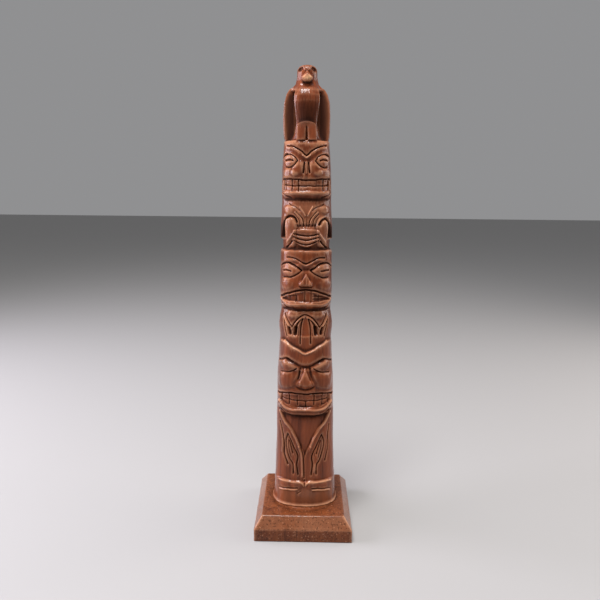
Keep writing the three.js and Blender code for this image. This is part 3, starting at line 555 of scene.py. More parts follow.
@dataclass
class UpperHead:
    """The upper head, with two rows of teeth."""

    brow: float = 276.4
    mouth: float = 260.0
    teeth_line: float = 255.9

    def carve(self, surface: CarvedSurface) -> None:
        """Cut the brow, eyes, nose, cheeks, mouth and teeth."""
        groove, dome, area = surface.groove, surface.dome, surface.area
        groove(1.4, 1.3, (0, self.brow - 0.2), (3.2, 278.7), (6.4, 280.8), (10, 282.2), (14.6, 282.9))
        # A bead with a painted highlight.
        groove(1.2, -0.7, (0, 274.7), (2.2, 276.2), wear_and_highlight=0.5)
        groove(4.4, 0.45, (2, 273), (5, 275), (9, 278.2), (15, 279.2), soft=True)
        groove(1.2, 1, (6.2, 272.6), (7.8, 275), (11, 276.6), (15.4, 277.2))
        groove(1.9, 1.5, (14.4, 277.2), (17.8, 276.4), (20.4, 274.4))
        groove(1.2, 1.1, (6.2, 272.6), (7.6, 270.8), (9.8, 269.1), (12.6, 268.3), (15.6, 269), taper=0.3)
        dome(12.6, 272.8, 6.6, 4, 0.45, lean=-2)
        groove(1.6, 1.3, (9.4, 272.8), (12.2, 273.3), (15.4, 273.2))
        groove(1.4, 1.4, (1.5, 271.4), (2, 264.8))
        groove(1.5, -0.4, (0, 272), (0, 264.8), side=Side.ACROSS)
        dome(5.8, 267.2, 4.6, 6.6, 1, lean=-34)
        dome(12.8, 264.4, 8.4, 4, 0.8)
        groove(1.6, 1.5, (0, self.mouth), (10, 260.5), (19.4, 260.9))
        # Sunk teeth, cleared of some painted shade.
        area(sweep(252.4, 253, 18, 4), sweep(259.8, 260.4, 18), 18, -0.7, 0.5, stain_and_shade=-0.3)
        groove(1.1, 1.1, (0, self.teeth_line), (8, 256.1), (17.4, 256.8))
        surface.uprights((-10.3, -5.6, 12), 252.6, 259.8, 1.1, 1.1)
        surface.uprights((-15.9, 16.6), 253.4, 259.8, 1, 0.9)
        surface.uprights((6.8,), 256.6, 259.6, 0.9, 0.5)
        groove(1.6, 1.4, (19.2, 260.9), (20.7, 258.8), (20.7, 255), (18.4, 252.2))
        groove(1.9, -0.5, (0, 251.2), (12, 251.2), (18.6, 251.8), soft=True)
        groove(2, 0.9, (12, 248.4), (17, 249.8), (22, 252.6), soft=True)


@dataclass
class Sheet:
    """The pole's whole surface over a grid of heights and angles, in millimetres."""

    angles: Array
    heights: Array
    radius: Array
    # The stain holds dark stain with painted shade; the wear holds rubbed lacquer with painted
    # highlights.
    stain_and_shade: Array
    wear_and_highlight: Array


@dataclass(frozen=True)
class Patch:
    """A soft squarish patch: its middle and half its size, in degrees and height, and its strength."""

    middle: Point
    size: Point
    strength: float

    def over(self, turn: Array, height: Array) -> Array:
        """Strength of the patch over grids of turn and height."""
        (turn0, height0), (wide, tall) = self.middle, self.size
        return self.strength * np.exp(-(((turn - turn0) / wide) ** 4) - ((height - height0) / tall) ** 4)


@dataclass
class Bird:
    """The standing bird on top: legs, breast, folded wings, head and hooked beak."""

    bottom: float = 286.0
    breast: Table = (
        (286, 12.2), (290, 11.4), (297, 10.2), (299.5, 10.3), (303, 11), (308, 12.2), (312, 13),
        (316, 12.7), (319, 11.4), (321.5, 9.2), (324, 7.7), (326, 7), (331, 6.9), (333.5, 6.4),
        (335.2, 5.2), (336, 3.4),
    )
    wing: Table = (
        (286, 15), (289, 15.8), (293, 16.1), (303, 16.3), (311.5, 15.8), (317.2, 14.2), (320.3, 12.2),
        (321.4, 10.2), (323.8, 7.9), (328.3, 6.9), (333, 6.8), (335, 5.5), (336, 3.4),
    )
    back: Table = (
        (286, 15.2), (300, 15), (312, 14), (318, 12), (322, 9), (326, 7.6), (332, 7), (334.5, 6),
        (336, 3.4),
    )
    gap_floor: float = 8.2
    gap_low: float = 287.5
    gap_rise: float = 11.0
    gap_high: float = 319.4
    gap_roof: float = 1.4
    breast_half_angle: float = 50.0
    wing_angle: float = 69.5
    scale: Table = ((286, 14.0), (317, 13.4), (323, 8.4), (328, 6.7), (336, 6.5))
    quills: tuple[Triple, ...] = ((19.4, 291.0, 312.0), (25.0, 288.0, 313.0), (31.0, 287.0, 311.0))
    feather: Point = (4.6, 4.2)
    first_feather: Point = (22.0, 314.5)
    feather_rows: int = 4
    feather_columns: int = 5
    # A negative patch that clears painted shade off the throat.
    throat: Patch = Patch((0.0, 320.8), (42.0, 2.1), -0.9)
    # Painted shade in the eye sockets.
    socket: Patch = Patch((52.0, 332.8), (20.0, 1.5), 0.75)
    # Painted shade over the lower breast, which faces downwards.
    breast_middle: Patch = Patch((0.0, 303.5), (36.0, 8.0), 0.72)
    # The beak is rubbed bare, with a painted highlight on it.
    beak_ridge: Patch = Patch((0.0, 326.4), (20.0, 2.0), 1.8)
    # Painted shade on the wings' inner walls and a painted shadow under the beak.
    wall_shade: float = 0.85
    under_beak_shadow: float = 0.7
    # Painted light in the shaded gaps beside the breast.
    gap_light: float = 0.3

    def radius(self, angles: Array, heights: Array) -> Array:
        """Work out the bird's radius before its carving.

        Args:
            angles: Grid of angles round the axis.
            heights: Grid of heights.

        Returns:
            The radius over the grid.
        """
        turn = np.abs(angles)
        wing, breast = along(self.wing, heights), along(self.breast, heights)
        back_share = smooth(math.pi * 0.6, math.pi, turn)
        plain = wing + (along(self.back, heights) - wing) * back_share
        wing_share = smooth((self.wing_angle - 4) * DEGREE, (self.wing_angle + 3) * DEGREE, turn)
        rim = self.breast_half_angle
        breast_share = 1 - smooth((rim - 9) * DEGREE, (rim + 6) * DEGREE, turn)
        gap_share = np.clip((heights - self.gap_low) / self.gap_rise, 0, 1)
        gap_share = gap_share * np.clip((self.gap_high - heights) / self.gap_roof, 0, 1)
        lower = np.minimum(breast, plain)
        between = lower + (self.gap_floor - lower) * gap_share
        return between + (plain - between) * wing_share + (breast - between) * breast_share

    def places(self, sheet: Sheet) -> tuple[Array, Array, Array]:
        """Turn from the front in degrees, height, and depth below the wing's rim, over the sheet."""
        turn, height = np.meshgrid(np.degrees(np.abs(sheet.angles)), sheet.heights)
        return turn, height, along(self.wing, height.ravel()).reshape(height.shape) - sheet.radius

    def shadow(self, sheet: Sheet) -> Array:
        """Paint shade on the wings' inner walls, the lower breast and the eye sockets, and a shadow
        under the beak.

        Args:
            sheet: The pole's surface.

        Returns:
            The share of painted shade over the sheet.
        """
        turn, height, depth = self.places(sheet)
        wall = smooth(0.6, 1.8, depth) * (1 - smooth(5.0, 7.5, depth)) * smooth(53.0, 58.0, turn)
        wall = wall * (1 - smooth(72.0, 78.0, turn)) * (1 - smooth(316.0, 319.0, height))
        # A painted shadow under the beak, rising towards the sides.
        bow = 323.6 + 2.4 * (turn / 32.0) ** 2
        under_beak = np.exp(-((turn / 32.0) ** 4) - ((height - bow) / 0.7) ** 2)
        total = self.wall_shade * wall + self.under_beak_shadow * under_beak
        for patch in (self.throat, self.socket, self.breast_middle):
            total += patch.over(turn, height)
        return total * smooth(self.bottom - 0.4, self.bottom + 0.6, height)

    def rubbed_and_lit(self, sheet: Sheet) -> Array:
        """Rub the beak bare with a painted highlight on it, and paint light into the shaded gaps beside
        the breast.

        Args:
            sheet: The pole's surface.

        Returns:
            The share of wear and painted light over the sheet.
        """
        turn, height, depth = self.places(sheet)
        # Painted light that lifts the shaded gaps beside the breast.
        gap = smooth(3.5, 6.0, depth) * smooth(42.0, 50.0, turn) * (1 - smooth(66.0, 71.0, turn))
        gap = gap * smooth(289.0, 293.0, height) * (1 - smooth(318.0, 321.0, height))
        return self.beak_ridge.over(turn, height) + self.gap_light * gap

    def carve(self, surface: CarvedSurface) -> None:
        """Cut the legs, beak, eyes, crest and feathers on the bird's own grid."""
        groove, dome, area = surface.groove, surface.dome, surface.area
        area(sweep(284, 284, 1), sweep(298.9, 297, 7, 4), 7.2, 3.9, 0.9)
        groove(1.5, 2.4, (0, 286), (0, 294.6), side=Side.ACROSS, taper=0.6)
        groove(2.8, 1.5, (0, 286), (0, 290.6), side=Side.ACROSS, taper=0.8)
        dome(3.9, 292.6, 3.6, 7, 0.4)
        groove(1.6, 1.4, (15.2, 288), (15.2, 300), taper=0.3)
        area(sweep(323.9, 326, 4), sweep(332, 326.8, 4.2, 1), 4.4, 1.9, 1.3)
        area(sweep(324.2, 326, 3.4), sweep(330.4, 326.6, 3.4, 1), 3.7, 1.9, 1.5)
        dome(0, 322.6, 5, 2.8, -0.6, side=Side.ACROSS)
        dome(5.3, 332.9, 2.6, 1.7, -1.2, lean=14, fullness=1.6)
        dome(5.1, 332.6, 1.1, 0.8, 0.5)
        groove(1.3, -0.6, (1.2, 332.2), (2.2, 333.8), (3.8, 335.2))
        for place, low, high in self.quills:
            middle = (place - 0.4, (low + high) / 2)
            groove(1.2, 0.8, (place, low), middle, (place - 1.4, high), taper=0.3)
        wide, tall = self.feather
        for row in range(self.feather_rows):
            top = self.first_feather[1] - tall * row
            for column in range(self.feather_columns):
                middle = self.first_feather[0] + wide * (column + (0.5 if row % 2 else 0.0))
                groove(0.9, 0.45, (middle - 2, top), (middle, top - 2.4), (middle + 2, top))


@dataclass
class Grid:
    """How finely the pole is sampled."""

    front_columns: int = 190
    back_columns: int = 60
    front_half: float = math.radians(86.0)
    row_step: float = 0.4
    faces_kept: int = 190_000

    def angles(self) -> Array:
        """Angles of the columns from the seam at the back round the front to the seam again."""
        half = self.back_columns // 2
        left = np.linspace(-math.pi, -self.front_half, half, endpoint=False)
        front = np.linspace(-self.front_half, self.front_half, self.front_columns, endpoint=False)
        right = np.linspace(self.front_half, math.pi, half + 1)
        return np.concatenate([left, front, right])


@dataclass(frozen=True)
class WoodFinish:
    """Stained and lacquered wood with grooves darkened by stain and painted shade, and edges lightened
    by wear and painted highlights.
    """

    name: str
    light: Triple
    dark: Triple
    # The groove colour also serves for painted shade, and the rubbed colour for painted highlights.
    groove: Triple
    rubbed_and_lit: Triple
    roughness: float
    speckle: float = 0.0
    bare: Triple = (0.54, 0.32, 0.17)
    lacquer: float = 0.95
    lacquer_roughness: float = 0.17
    lacquer_index: float = 1.27
    under_gloss: float = 0.08
    roughness_spread: Point = (-0.06, 0.1)
    stain_roughness: float = 0.35
    grain_stretch: float = 0.045
    grain_depth: float = 0.12
    grain_strength: float = 0.35

    def build(self) -> bpy.types.Material:
        """Make the node material.

        Returns:
            A material that reads Object coordinates and the piece's attributes of stain with painted
            shade and of wear with painted highlight.
        """
        material = bpy.data.materials.new(self.name)
        material.use_nodes = True
        nodes, links = material.node_tree.nodes, material.node_tree.links
        nodes.clear()
        output = nodes.new("ShaderNodeOutputMaterial")
        shader = nodes.new("ShaderNodeBsdfPrincipled")
        links.new(shader.outputs["BSDF"], output.inputs["Surface"])
        shader.inputs["Coat Roughness"].default_value = self.lacquer_roughness
        shader.inputs["Coat IOR"].default_value = self.lacquer_index
        shader.inputs["Specular IOR Level"].default_value = self.under_gloss

        place = nodes.new("ShaderNodeTexCoord").outputs["Object"]

        def feed(socket: Socket, value: Socket | float | tuple[float, ...]) -> None:
            """Link a socket to another one, or set it to a plain number or colour."""
            if isinstance(value, Socket):
                links.new(value, socket)
            else:
                socket.default_value = value

        def noise(scale: float, stretch: float, detail: float, distortion: float = 0.0) -> Socket:
            """Add noise drawn out along the pole and return its value."""
            mapping = nodes.new("ShaderNodeMapping")
            mapping.inputs["Scale"].default_value = (1.0, 1.0, stretch)
            links.new(place, mapping.inputs["Vector"])
            texture = nodes.new("ShaderNodeTexNoise")
            texture.inputs["Scale"].default_value = scale
            texture.inputs["Detail"].default_value = detail
            texture.inputs["Distortion"].default_value = distortion
            links.new(mapping.outputs["Vector"], texture.inputs["Vector"])
            return texture.outputs["Fac"]

        def ramp(
            value: Socket, low: float, high: float, least: float = 0.0, most: float = 1.0,
        ) -> Socket:
            """Spread a value between two limits and return the result."""
            node = nodes.new("ShaderNodeMapRange")
            node.interpolation_type = "SMOOTHSTEP"
            names = ("Value", "From Min", "From Max", "To Min", "To Max")
            for name, setting in zip(names, (value, low, high, least, most)):
                feed(node.inputs[name], setting)
            return node.outputs["Result"]

        def mix(share: Socket, first: Socket | Triple, second: Socket | Triple) -> Socket:
            """Mix two colours by a share and return the result."""
            node = nodes.new("ShaderNodeMix")
            node.data_type = "RGBA"
            feed(node.inputs["Factor"], share)
            for socket, colour in ((node.inputs[6], first), (node.inputs[7], second)):
                feed(socket, (*colour, 1.0) if isinstance(colour, tuple) else colour)
            return node.outputs[2]

        def maths(operation: str, *values: Socket | float) -> Socket:
            """Combine values by one operation and return the result."""
            node = nodes.new("ShaderNodeMath")
            node.operation = operation
            for socket, value in zip(node.inputs, values):
                feed(socket, value)
            return node.outputs[0]

        def marked(name: str) -> Socket:
            """Read the share that the piece's points carry under a name."""
            node = nodes.new("ShaderNodeAttribute")
            node.attribute_name = name
            return node.outputs["Fac"]

        grain = noise(650.0, self.grain_stretch, 5.0, 0.35)
        streaks = noise(150.0, self.grain_stretch * 0.9, 3.0, 0.6)
        patches = noise(26.0, 0.5, 3.0)
        fibre = noise(2200.0, 0.03, 2.0)
        base = mix(ramp(streaks, 0.32, 0.68), self.dark, self.light)
        base = mix(ramp(grain, 0.52, 0.74, 0.0, 0.55), base, self.groove)
        base = mix(ramp(patches, 0.42, 0.72, 0.0, 0.35), base, self.dark)

        stain_and_shade = marked("stain_and_shade")
        # Wear and painted highlights lighten the colour, up to bare wood.
        worn_and_lit = maths("MULTIPLY", marked("wear_and_highlight"), ramp(patches, 0.3, 0.65, 0.35, 1.0))
        base = mix(worn_and_lit, base, self.rubbed_and_lit)
        base = mix(ramp(worn_and_lit, 0.9, 1.7), base, self.bare)
        # Stain and painted shade darken the colour towards the grooves' colour.
        base = mix(stain_and_shade, base, self.groove)
        if self.speckle:
            spots = noise(900.0, 1.0, 2.0)
            base = mix(ramp(spots, 0.62, 0.70, 0.0, self.speckle), base, self.rubbed_and_lit)
            pits = noise(760.0, 1.0, 1.0, 0.4)
            base = mix(ramp(pits, 0.58, 0.66, 0.0, self.speckle), base, self.groove)
        links.new(base, shader.inputs["Base Color"])
        low, high = (self.roughness + spread for spread in self.roughness_spread)
        dulled = maths("MULTIPLY_ADD", stain_and_shade, self.stain_roughness, ramp(streaks, 0.2, 0.8, low, high))
        links.new(dulled, shader.inputs["Roughness"])
        links.new(ramp(stain_and_shade, 0.0, 0.6, self.lacquer, 0.0), shader.inputs["Coat Weight"])

        bump = nodes.new("ShaderNodeBump")
        bump.inputs["Strength"].default_value = self.grain_strength
        bump.inputs["Distance"].default_value = self.grain_depth * MM
        links.new(maths("ADD", fibre, grain), bump.inputs["Height"])
        links.new(bump.outputs["Normal"], shader.inputs["Normal"])
        return material


POLE_WOOD = WoodFinish(
    "carved pole wood", light=(0.212, 0.050, 0.016), dark=(0.112, 0.025, 0.0085),
    groove=(0.038, 0.012, 0.0065), rubbed_and_lit=(0.50, 0.24, 0.13), roughness=0.36,
)
BASE_WOOD = WoodFinish(
    "plinth wood", light=(0.178, 0.050, 0.016), dark=(0.120, 0.031, 0.010),
    groove=(0.030, 0.009, 0.004), rubbed_and_lit=(0.46, 0.22, 0.12), roughness=0.34, speckle=0.55,
)


def blurred(values: Array, rows: int, columns: int) -> Array:
    """Average a grid over a small window, wrapping round the pole.

    Args:
        values: Grid with one row for each height.
        rows: Half height of the window.
        columns: Half width of the window.

    Returns:
        The averaged grid.
    """
    result = values
    for axis, half in ((0, rows), (1, columns)):
        mode = "edge" if axis == 0 else "wrap"
        pad = [(half + 1, half) if a == axis else (0, 0) for a in (0, 1)]
        total = np.cumsum(np.pad(result, pad, mode=mode), axis=axis)
        size = 2 * half + 1
        length = values.shape[axis]
        upper = np.take(total, range(size, size + length), axis=axis)
        lower = np.take(total, range(0, length), axis=axis)
        result = (upper - lower) / size
    return result


@dataclass(frozen=True)
class Relief:
    """How stain with painted shade, and wear with painted highlight, follow from the surface's depth and
    height over its average in a window.
    """

    window: tuple[int, int]
    stained_and_shaded: Point
    stain_and_shade_share: float
    rubbed_and_lit: Point = (0.0, 1.0)
    wear_and_highlight_share: float = 0.0


@dataclass
class CarvedPole:
    """The one carved piece: three figures on each other with a bird on top."""

    bottom: float = POLE_LOW[2]
    top: float = POLE_HIGH[2]
    grid: Grid = field(default_factory=Grid)
    finish: WoodFinish = POLE_WOOD
    section: Section = field(default_factory=Section)
    front: Table = (
        (18.2, 0.9), (18.8, 0.5), (19.6, 0.2), (21, 0), (31, 0.3), (37.4, 0.4), (38.5, -1.0),
        (57, -0.7), (78, -0.6), (88, -1.0), (92.4, -1.5), (93.3, -2.1), (95.6, 0.1), (97, 0.7),
        (99, 0.55), (109, 0.5), (120, 0.4), (127, 0), (132, 0.6), (146.2, 0.6), (147.4, -1.25),
        (160, -0.3), (166, -0.4), (169, -1.0), (169.8, -2.2), (172, -0.4), (172.8, 0.4), (175, 0.7),
        (185, 0.5), (190, 0.3), (200, 0.15), (211.8, 0.4), (212.6, -1.9), (216, -1.5), (228, -0.6),
        (238, -0.4), (242, -0.8), (245.6, -1.6), (247.1, -2.4), (249.6, -0.5), (250.4, 0.4), (260, 0.4),
        (264, 0.4), (272, 0.1), (283.8, 0.4), (286, -0.6),
    )
    side: Table = (
        (18.2, 0.9), (18.8, 0.5), (19.6, 0.2), (21, 0), (37, 0.1), (42, -0.2), (55, 0), (143, -0.2),
        (147, -0.7), (150, -0.6), (155, 0), (210, 0.1), (211.6, -0.2), (212.8, -1.9), (219, -1.7),
        (220.2, 0), (246, -0.3), (251, 0.1), (286, 0),
    )
    ledge_shifts: tuple[tuple[float, float, float, float, float], ...] = (
        (147.0, 8.6, 17.0, 1.0, 16.0), (95.6, 4.0, 20.0, 4.0, 5.0),
    )
    back: Table = ((18.2, 0.9), (18.8, 0.5), (19.6, 0.2), (21, 0))
    front_fade: Point = (48.0, 78.0)
    side_fade: Point = (98.0, 135.0)
    axis_shift: Table = ((18, 0.9), (120, 0.3), (225, 0), (300, -0.7), (336, -0.7))
    bird: Bird = field(default_factory=Bird)
    # Darkening in grooves and hollows is partly stain and partly painted shade, the broadest window
    # painting shade only; lightening on crests is wear with painted highlight.
    reliefs: tuple[Relief, ...] = (
        Relief((6, 6), (0.12, 0.75), 0.8, (0.12, 0.5), 0.15),
        Relief((2, 2), (0.04, 0.2), 0.2, (0.03, 0.12), 0.42),
        Relief((16, 14), (0.1, 1.6), 0.3),
    )
    # The bird's share of the painted shade and stain, and of the wear and painted highlight; a painted
    # highlight ring round the pole's foot.
    bird_stain_and_shade: float = 0.35
    bird_wear_and_highlight: float = 0.5
    foot_highlight: float = 0.9
    mean_radius: float = 20.0
    facets: Point = (0.05, 0.10)

    def shifted(self, s: Array, z: Array) -> Array:
        """Heights as the front's table sees them, so that its ledges dip or rise towards the middle.

        Args:
            s: Distance round the pole.
            z: Height.

        Returns:
            The height to read the front's table at.
        """
        result = z.copy()
        for height, drop, reach, power, fade in self.ledge_shifts:
            middle = height - drop / 2
            strength = np.clip(1 - np.abs(z - middle) / (fade + abs(drop) / 2), 0, 1) ** 0.5
            result += drop * (1 - np.clip(np.abs(s) / reach, 0, 1) ** power) * strength
        return result

    def carved(self) -> Sheet:
        """Work out the whole surface.

        Returns:
            The sheet with its radius, the stain and painted shade of areas and the wear and painted
            highlight of beads.
        """
        angles = self.grid.angles()
        rows = int((self.top - self.bottom) / self.grid.row_step) + 1
        heights = np.linspace(self.bottom, self.top, rows)
        below = heights < self.bird.bottom
        uncut = self.section.radius(angles, heights[below])
        surface = CarvedSurface(heights[below], self.section.distances(angles, uncut))
        for figure in (Feet, LowBody, LowHead, MiddleBody, MiddleHead, UpperBody, UpperHead):
            figure().carve(surface)
        turn = np.degrees(np.abs(np.broadcast_to(angles, uncut.shape)))
        front, side = along(self.front, self.shifted(surface.s, surface.z)), along(self.side, surface.z)
        plain = side + (along(self.back, surface.z) - side) * smooth(*self.side_fade, turn)
        lower = uncut + front + (plain - front) * smooth(*self.front_fade, turn) + surface.cut
        angle, height = np.meshgrid(angles, heights[~below])
        bird_surface = CarvedSurface(heights[~below], angle * along(self.bird.scale, height), wander=0.1)
        self.bird.carve(bird_surface)
        radius = np.concatenate([lower, self.bird.radius(angle, height) + bird_surface.cut])
        radius += self.tool_marks(angles, heights)
        radius[:, -1] = radius[:, 0]
        stain_and_shade = np.concatenate([surface.stain_and_shade, bird_surface.stain_and_shade])
        return Sheet(angles, heights, radius, stain_and_shade, np.concatenate([surface.wear_and_highlight, bird_surface.wear_and_highlight]))

    def tool_marks(self, angles: Array, heights: Array) -> Array:
        """Shallow facets and ripples of the knife over the whole surface."""
        angle, z = np.meshgrid(angles, heights)
        s = angle * self.mean_radius
        small, large = self.facets
        marks = small * np.sin(s * 1.9 + 1.5 * np.sin(z * 0.21))
        marks *= np.sin(z * 0.37 + 0.8 * np.sin(s * 0.4))
        marks += large * np.sin(s * 0.45 + z * 0.05) * np.sin(z * 0.13 + 1.0)
        return marks * smooth(0.0, 6.0, math.pi * self.mean_radius - np.abs(s))

    def build(self) -> bpy.types.Object:
        """Model, dress and place the pole.

        Returns:
            The pole's object, standing for the CAD node of the same piece.
        """
        sheet = self.carved()
        mesh = self.thinned(self.wrapped(sheet))
        self.shade(mesh, sheet)
        pole = set_in_scene("carved_pole", mesh)
        mesh.materials.append(self.finish.build())
        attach(pole, "root")
        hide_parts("pole")
        return pole

    def wrapped(self, sheet: Sheet) -> bpy.types.Mesh:
        """Wrap a flat grid round the axis at the given radii and close its seam and ends.

        Args:
            sheet: The pole's surface.

        Returns:
            The closed mesh.
        """
        across, up = len(sheet.angles) - 1, len(sheet.heights) - 1
        bm = bmesh.new()
        bmesh.ops.create_grid(bm, x_segments=across, y_segments=up, size=0.5)
        mesh = bpy.data.meshes.new("carved_pole")
        bm.to_mesh(mesh)
        flat = points_of(mesh)
        columns = np.rint((flat[:, 0] + 0.5) * across).astype(int)
        rows = np.rint((flat[:, 1] + 0.5) * up).astype(int)
        r, angle, height = sheet.radius[rows, columns] * MM, sheet.angles[columns], sheet.heights[rows]
        shift = along(self.axis_shift, height) * MM
        wrapped = np.stack([r * np.sin(angle) + shift, -r * np.cos(angle), height * MM], axis=1)
        mesh.vertices.foreach_set("co", wrapped.ravel())
        bm.clear()
        bm.from_mesh(mesh)
        bmesh.ops.remove_doubles(bm, verts=bm.verts, dist=2e-6)
        open_edges = [edge for edge in bm.edges if edge.is_boundary]
        bmesh.ops.holes_fill(bm, edges=open_edges, sides=0)
        bmesh.ops.recalc_face_normals(bm, faces=bm.faces)
        bm.to_mesh(mesh)
        bm.free()
        return mesh

    def thinned(self, mesh: bpy.types.Mesh) -> bpy.types.Mesh:
        """Bring the mesh down to the number of faces kept.

        Args:
            mesh: The dense mesh, which is removed.

        Returns:
            The thinned mesh.
        """
        carrier = set_in_scene("dense pole", mesh)
        modifier = carrier.modifiers.new("thin", "DECIMATE")
        modifier.ratio = min(1.0, self.grid.faces_kept / (2.0 * len(mesh.polygons)))
        graph = bpy.context.evaluated_depsgraph_get()
        result = bpy.data.meshes.new_from_object(carrier.evaluated_get(graph))
        bpy.data.objects.remove(carrier)
        bpy.data.meshes.remove(mesh)
        result.name = "carved_pole"
        result.polygons.foreach_set("use_smooth", [True] * len(result.polygons))
        return result

    def shade(self, mesh: bpy.types.Mesh, sheet: Sheet) -> None:
        """Store where stain and painted shade settle in grooves and hollows, and where edges carry wear
        and painted highlights.

        Args:
            mesh: The mesh that takes the two attributes.
            sheet: The pole's surface.
        """
        radius, heights = sheet.radius, sheet.heights
        figures = heights < self.bird.bottom
        painted_shade_and_stain, painted_highlight_and_wear = np.zeros_like(radius), np.zeros_like(radius)
        # Hollows below the local average take stain and painted shade; crests above it take wear and
        # painted highlight.
        for relief in self.reliefs:
            average = blurred(blurred(radius, *relief.window), *relief.window)
            painted_shade_and_stain += relief.stain_and_shade_share * smooth(*relief.stained_and_shaded, average - radius)
            painted_highlight_and_wear += relief.wear_and_highlight_share * smooth(*relief.rubbed_and_lit, radius - average)
        painted_shade_and_stain *= np.where(figures, 1.0, self.bird_stain_and_shade)[:, None]
        painted_shade_and_stain += self.bird.shadow(sheet) + sheet.stain_and_shade
        # A painted highlight ring where the pole meets the plinth.
        painted_highlight_and_wear += self.foot_highlight * fade(heights - self.bottom - 0.9, 0.7)[:, None] + sheet.wear_and_highlight
        painted_highlight_and_wear *= np.where(figures, 1.0, self.bird_wear_and_highlight)[:, None]
        painted_highlight_and_wear = np.minimum(painted_highlight_and_wear, 1.0) + self.bird.rubbed_and_lit(sheet)
        x, y, z = points_of(mesh).T / MM
        angle = np.arctan2(x - along(self.axis_shift, z), -y)
        across = np.interp(angle, sheet.angles, np.arange(len(sheet.angles)))
        up = np.interp(z, heights, np.arange(len(heights)))
        column = np.clip(across.astype(int), 0, len(sheet.angles) - 2)
        row = np.clip(up.astype(int), 0, len(heights) - 2)
        a, b = across - column, up - row
        for name, values in (("stain_and_shade", np.clip(painted_shade_and_stain, 0, 1)), ("wear_and_highlight", np.clip(painted_highlight_and_wear, 0, 2))):
            low = values[row, column] * (1 - a) + values[row, column + 1] * a
            high = values[row + 1, column] * (1 - a) + values[row + 1, column + 1] * a
            store(mesh, name, low * (1 - b) + high * b)


@dataclass
class Plinth:
    """The square chamfered plinth."""

    side: float = BASE_HIGH[0] - BASE_LOW[0]
    edge_height: float = 9.7
    height: float = BASE_HIGH[2]
    chamfer: float = 5.7
    arris: float = 0.7
    sharp_angle: float = 0.3
    long_edge: float = 4.0
    cuts: int = 40
    dents: Point = (0.05, 0.02)
    pole_foot: float = 25.0
    # Painted highlights along the arrises and hips, a lighter chamfer, and painted shade round the
    # pole's foot.
    rim_highlight: float = 0.15
    arris_highlight: float = 0.42
    chamfer_lightening: float = 0.22
    hip_highlight: float = 0.8
    foot_shade: float = 0.5
    finish: WoodFinish = BASE_WOOD

    def build(self) -> bpy.types.Object:
        """Model, dress and place the plinth.

        Returns:
            The plinth's object.
        """
        bm = bmesh.new()
        bmesh.ops.create_grid(bm, x_segments=1, y_segments=1, size=self.side * MM / 2)
        grown = bmesh.ops.extrude_face_region(bm, geom=list(bm.faces))["geom"]
        edge = [item for item in grown if isinstance(item, bmesh.types.BMVert)]
        bmesh.ops.translate(bm, vec=(0, 0, self.edge_height * MM), verts=edge)
        face = [item for item in grown if isinstance(item, bmesh.types.BMFace)]
        grown = bmesh.ops.extrude_face_region(bm, geom=face)["geom"]
        bmesh.ops.delete(bm, geom=face, context="FACES_ONLY")
        rim = [item for item in grown if isinstance(item, bmesh.types.BMVert)]
        share = (self.side - 2 * self.chamfer) / self.side
        bmesh.ops.scale(bm, vec=(share, share, 1.0), verts=rim)
        bmesh.ops.translate(bm, vec=(0, 0, (self.height - self.edge_height) * MM), verts=rim)
        bmesh.ops.recalc_face_normals(bm, faces=bm.faces)
        sharp = [e for e in bm.edges if e.calc_face_angle(0.0) > self.sharp_angle]
        bmesh.ops.bevel(
            bm, geom=sharp, offset=self.arris * MM, segments=3, profile=0.5, affect="EDGES", material=-1,
        )
        long_edges = [e for e in bm.edges if e.calc_length() > self.long_edge * MM]
        bmesh.ops.subdivide_edges(bm, edges=long_edges, cuts=self.cuts, use_grid_fill=True)
        self.wear_down(bm)
        mesh = mesh_from(bm, "plinth")
        mesh.polygons.foreach_set("use_smooth", [True] * len(mesh.polygons))
        plinth = set_in_scene("plinth", mesh)
        mesh.materials.append(self.finish.build())
        self.shade(mesh)
        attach(plinth, "root")
        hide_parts("base")
        return plinth

    def wear_down(self, bm: bmesh.types.BMesh) -> None:
        """Move points slightly so that the arrises and faces aren't perfectly true."""
        deep, fine = self.dents
        for vert in bm.verts:
            x, y, z = (value / MM for value in vert.co)
            if z > 0.5:
                dent = deep * math.sin(x * 0.35 + 2 * math.sin(y * 0.13)) * math.sin(y * 0.3 + z * 0.7)
                dent += fine * math.sin(x * 1.3 + y * 0.9 + z * 1.1)
                vert.co += vert.normal * (dent - deep) * MM if vert.normal.length else Vector()

    def shade(self, mesh: bpy.types.Mesh) -> None:
        """Store rubbed arrises and hips with painted highlights, a lighter chamfer, and painted shade
        round the pole's foot.

        Args:
            mesh: The mesh that takes the two attributes.
        """
        x, y, z = points_of(mesh).T / MM
        half = self.side / 2
        inner = half - self.chamfer
        out = np.maximum(np.abs(x), np.abs(y))
        on_top = z > self.height - 1.0
        # Painted highlights on the arrises and chamfer hips; the chamfer is painted lighter.
        wear_and_highlight = self.rim_highlight * fade(out - inner, 0.8) * on_top
        wear_and_highlight += self.arris_highlight * fade(z - self.edge_height, 0.8) * (out > half - 1.2)
        wear_and_highlight += self.chamfer_lightening * (z > self.edge_height + 0.8) * (z < self.height - 0.8)
        wear_and_highlight += self.hip_highlight * fade(np.abs(x) - np.abs(y), 0.9) * (z > 0.5) * (out > inner - 0.5)
        store(mesh, "wear_and_highlight", np.clip(wear_and_highlight, 0, 1))
        # Painted shade in the corner round the pole's foot.
        store(mesh, "stain_and_shade", self.foot_shade * fade(np.hypot(x, y) - self.pole_foot, 1.6) * on_top)


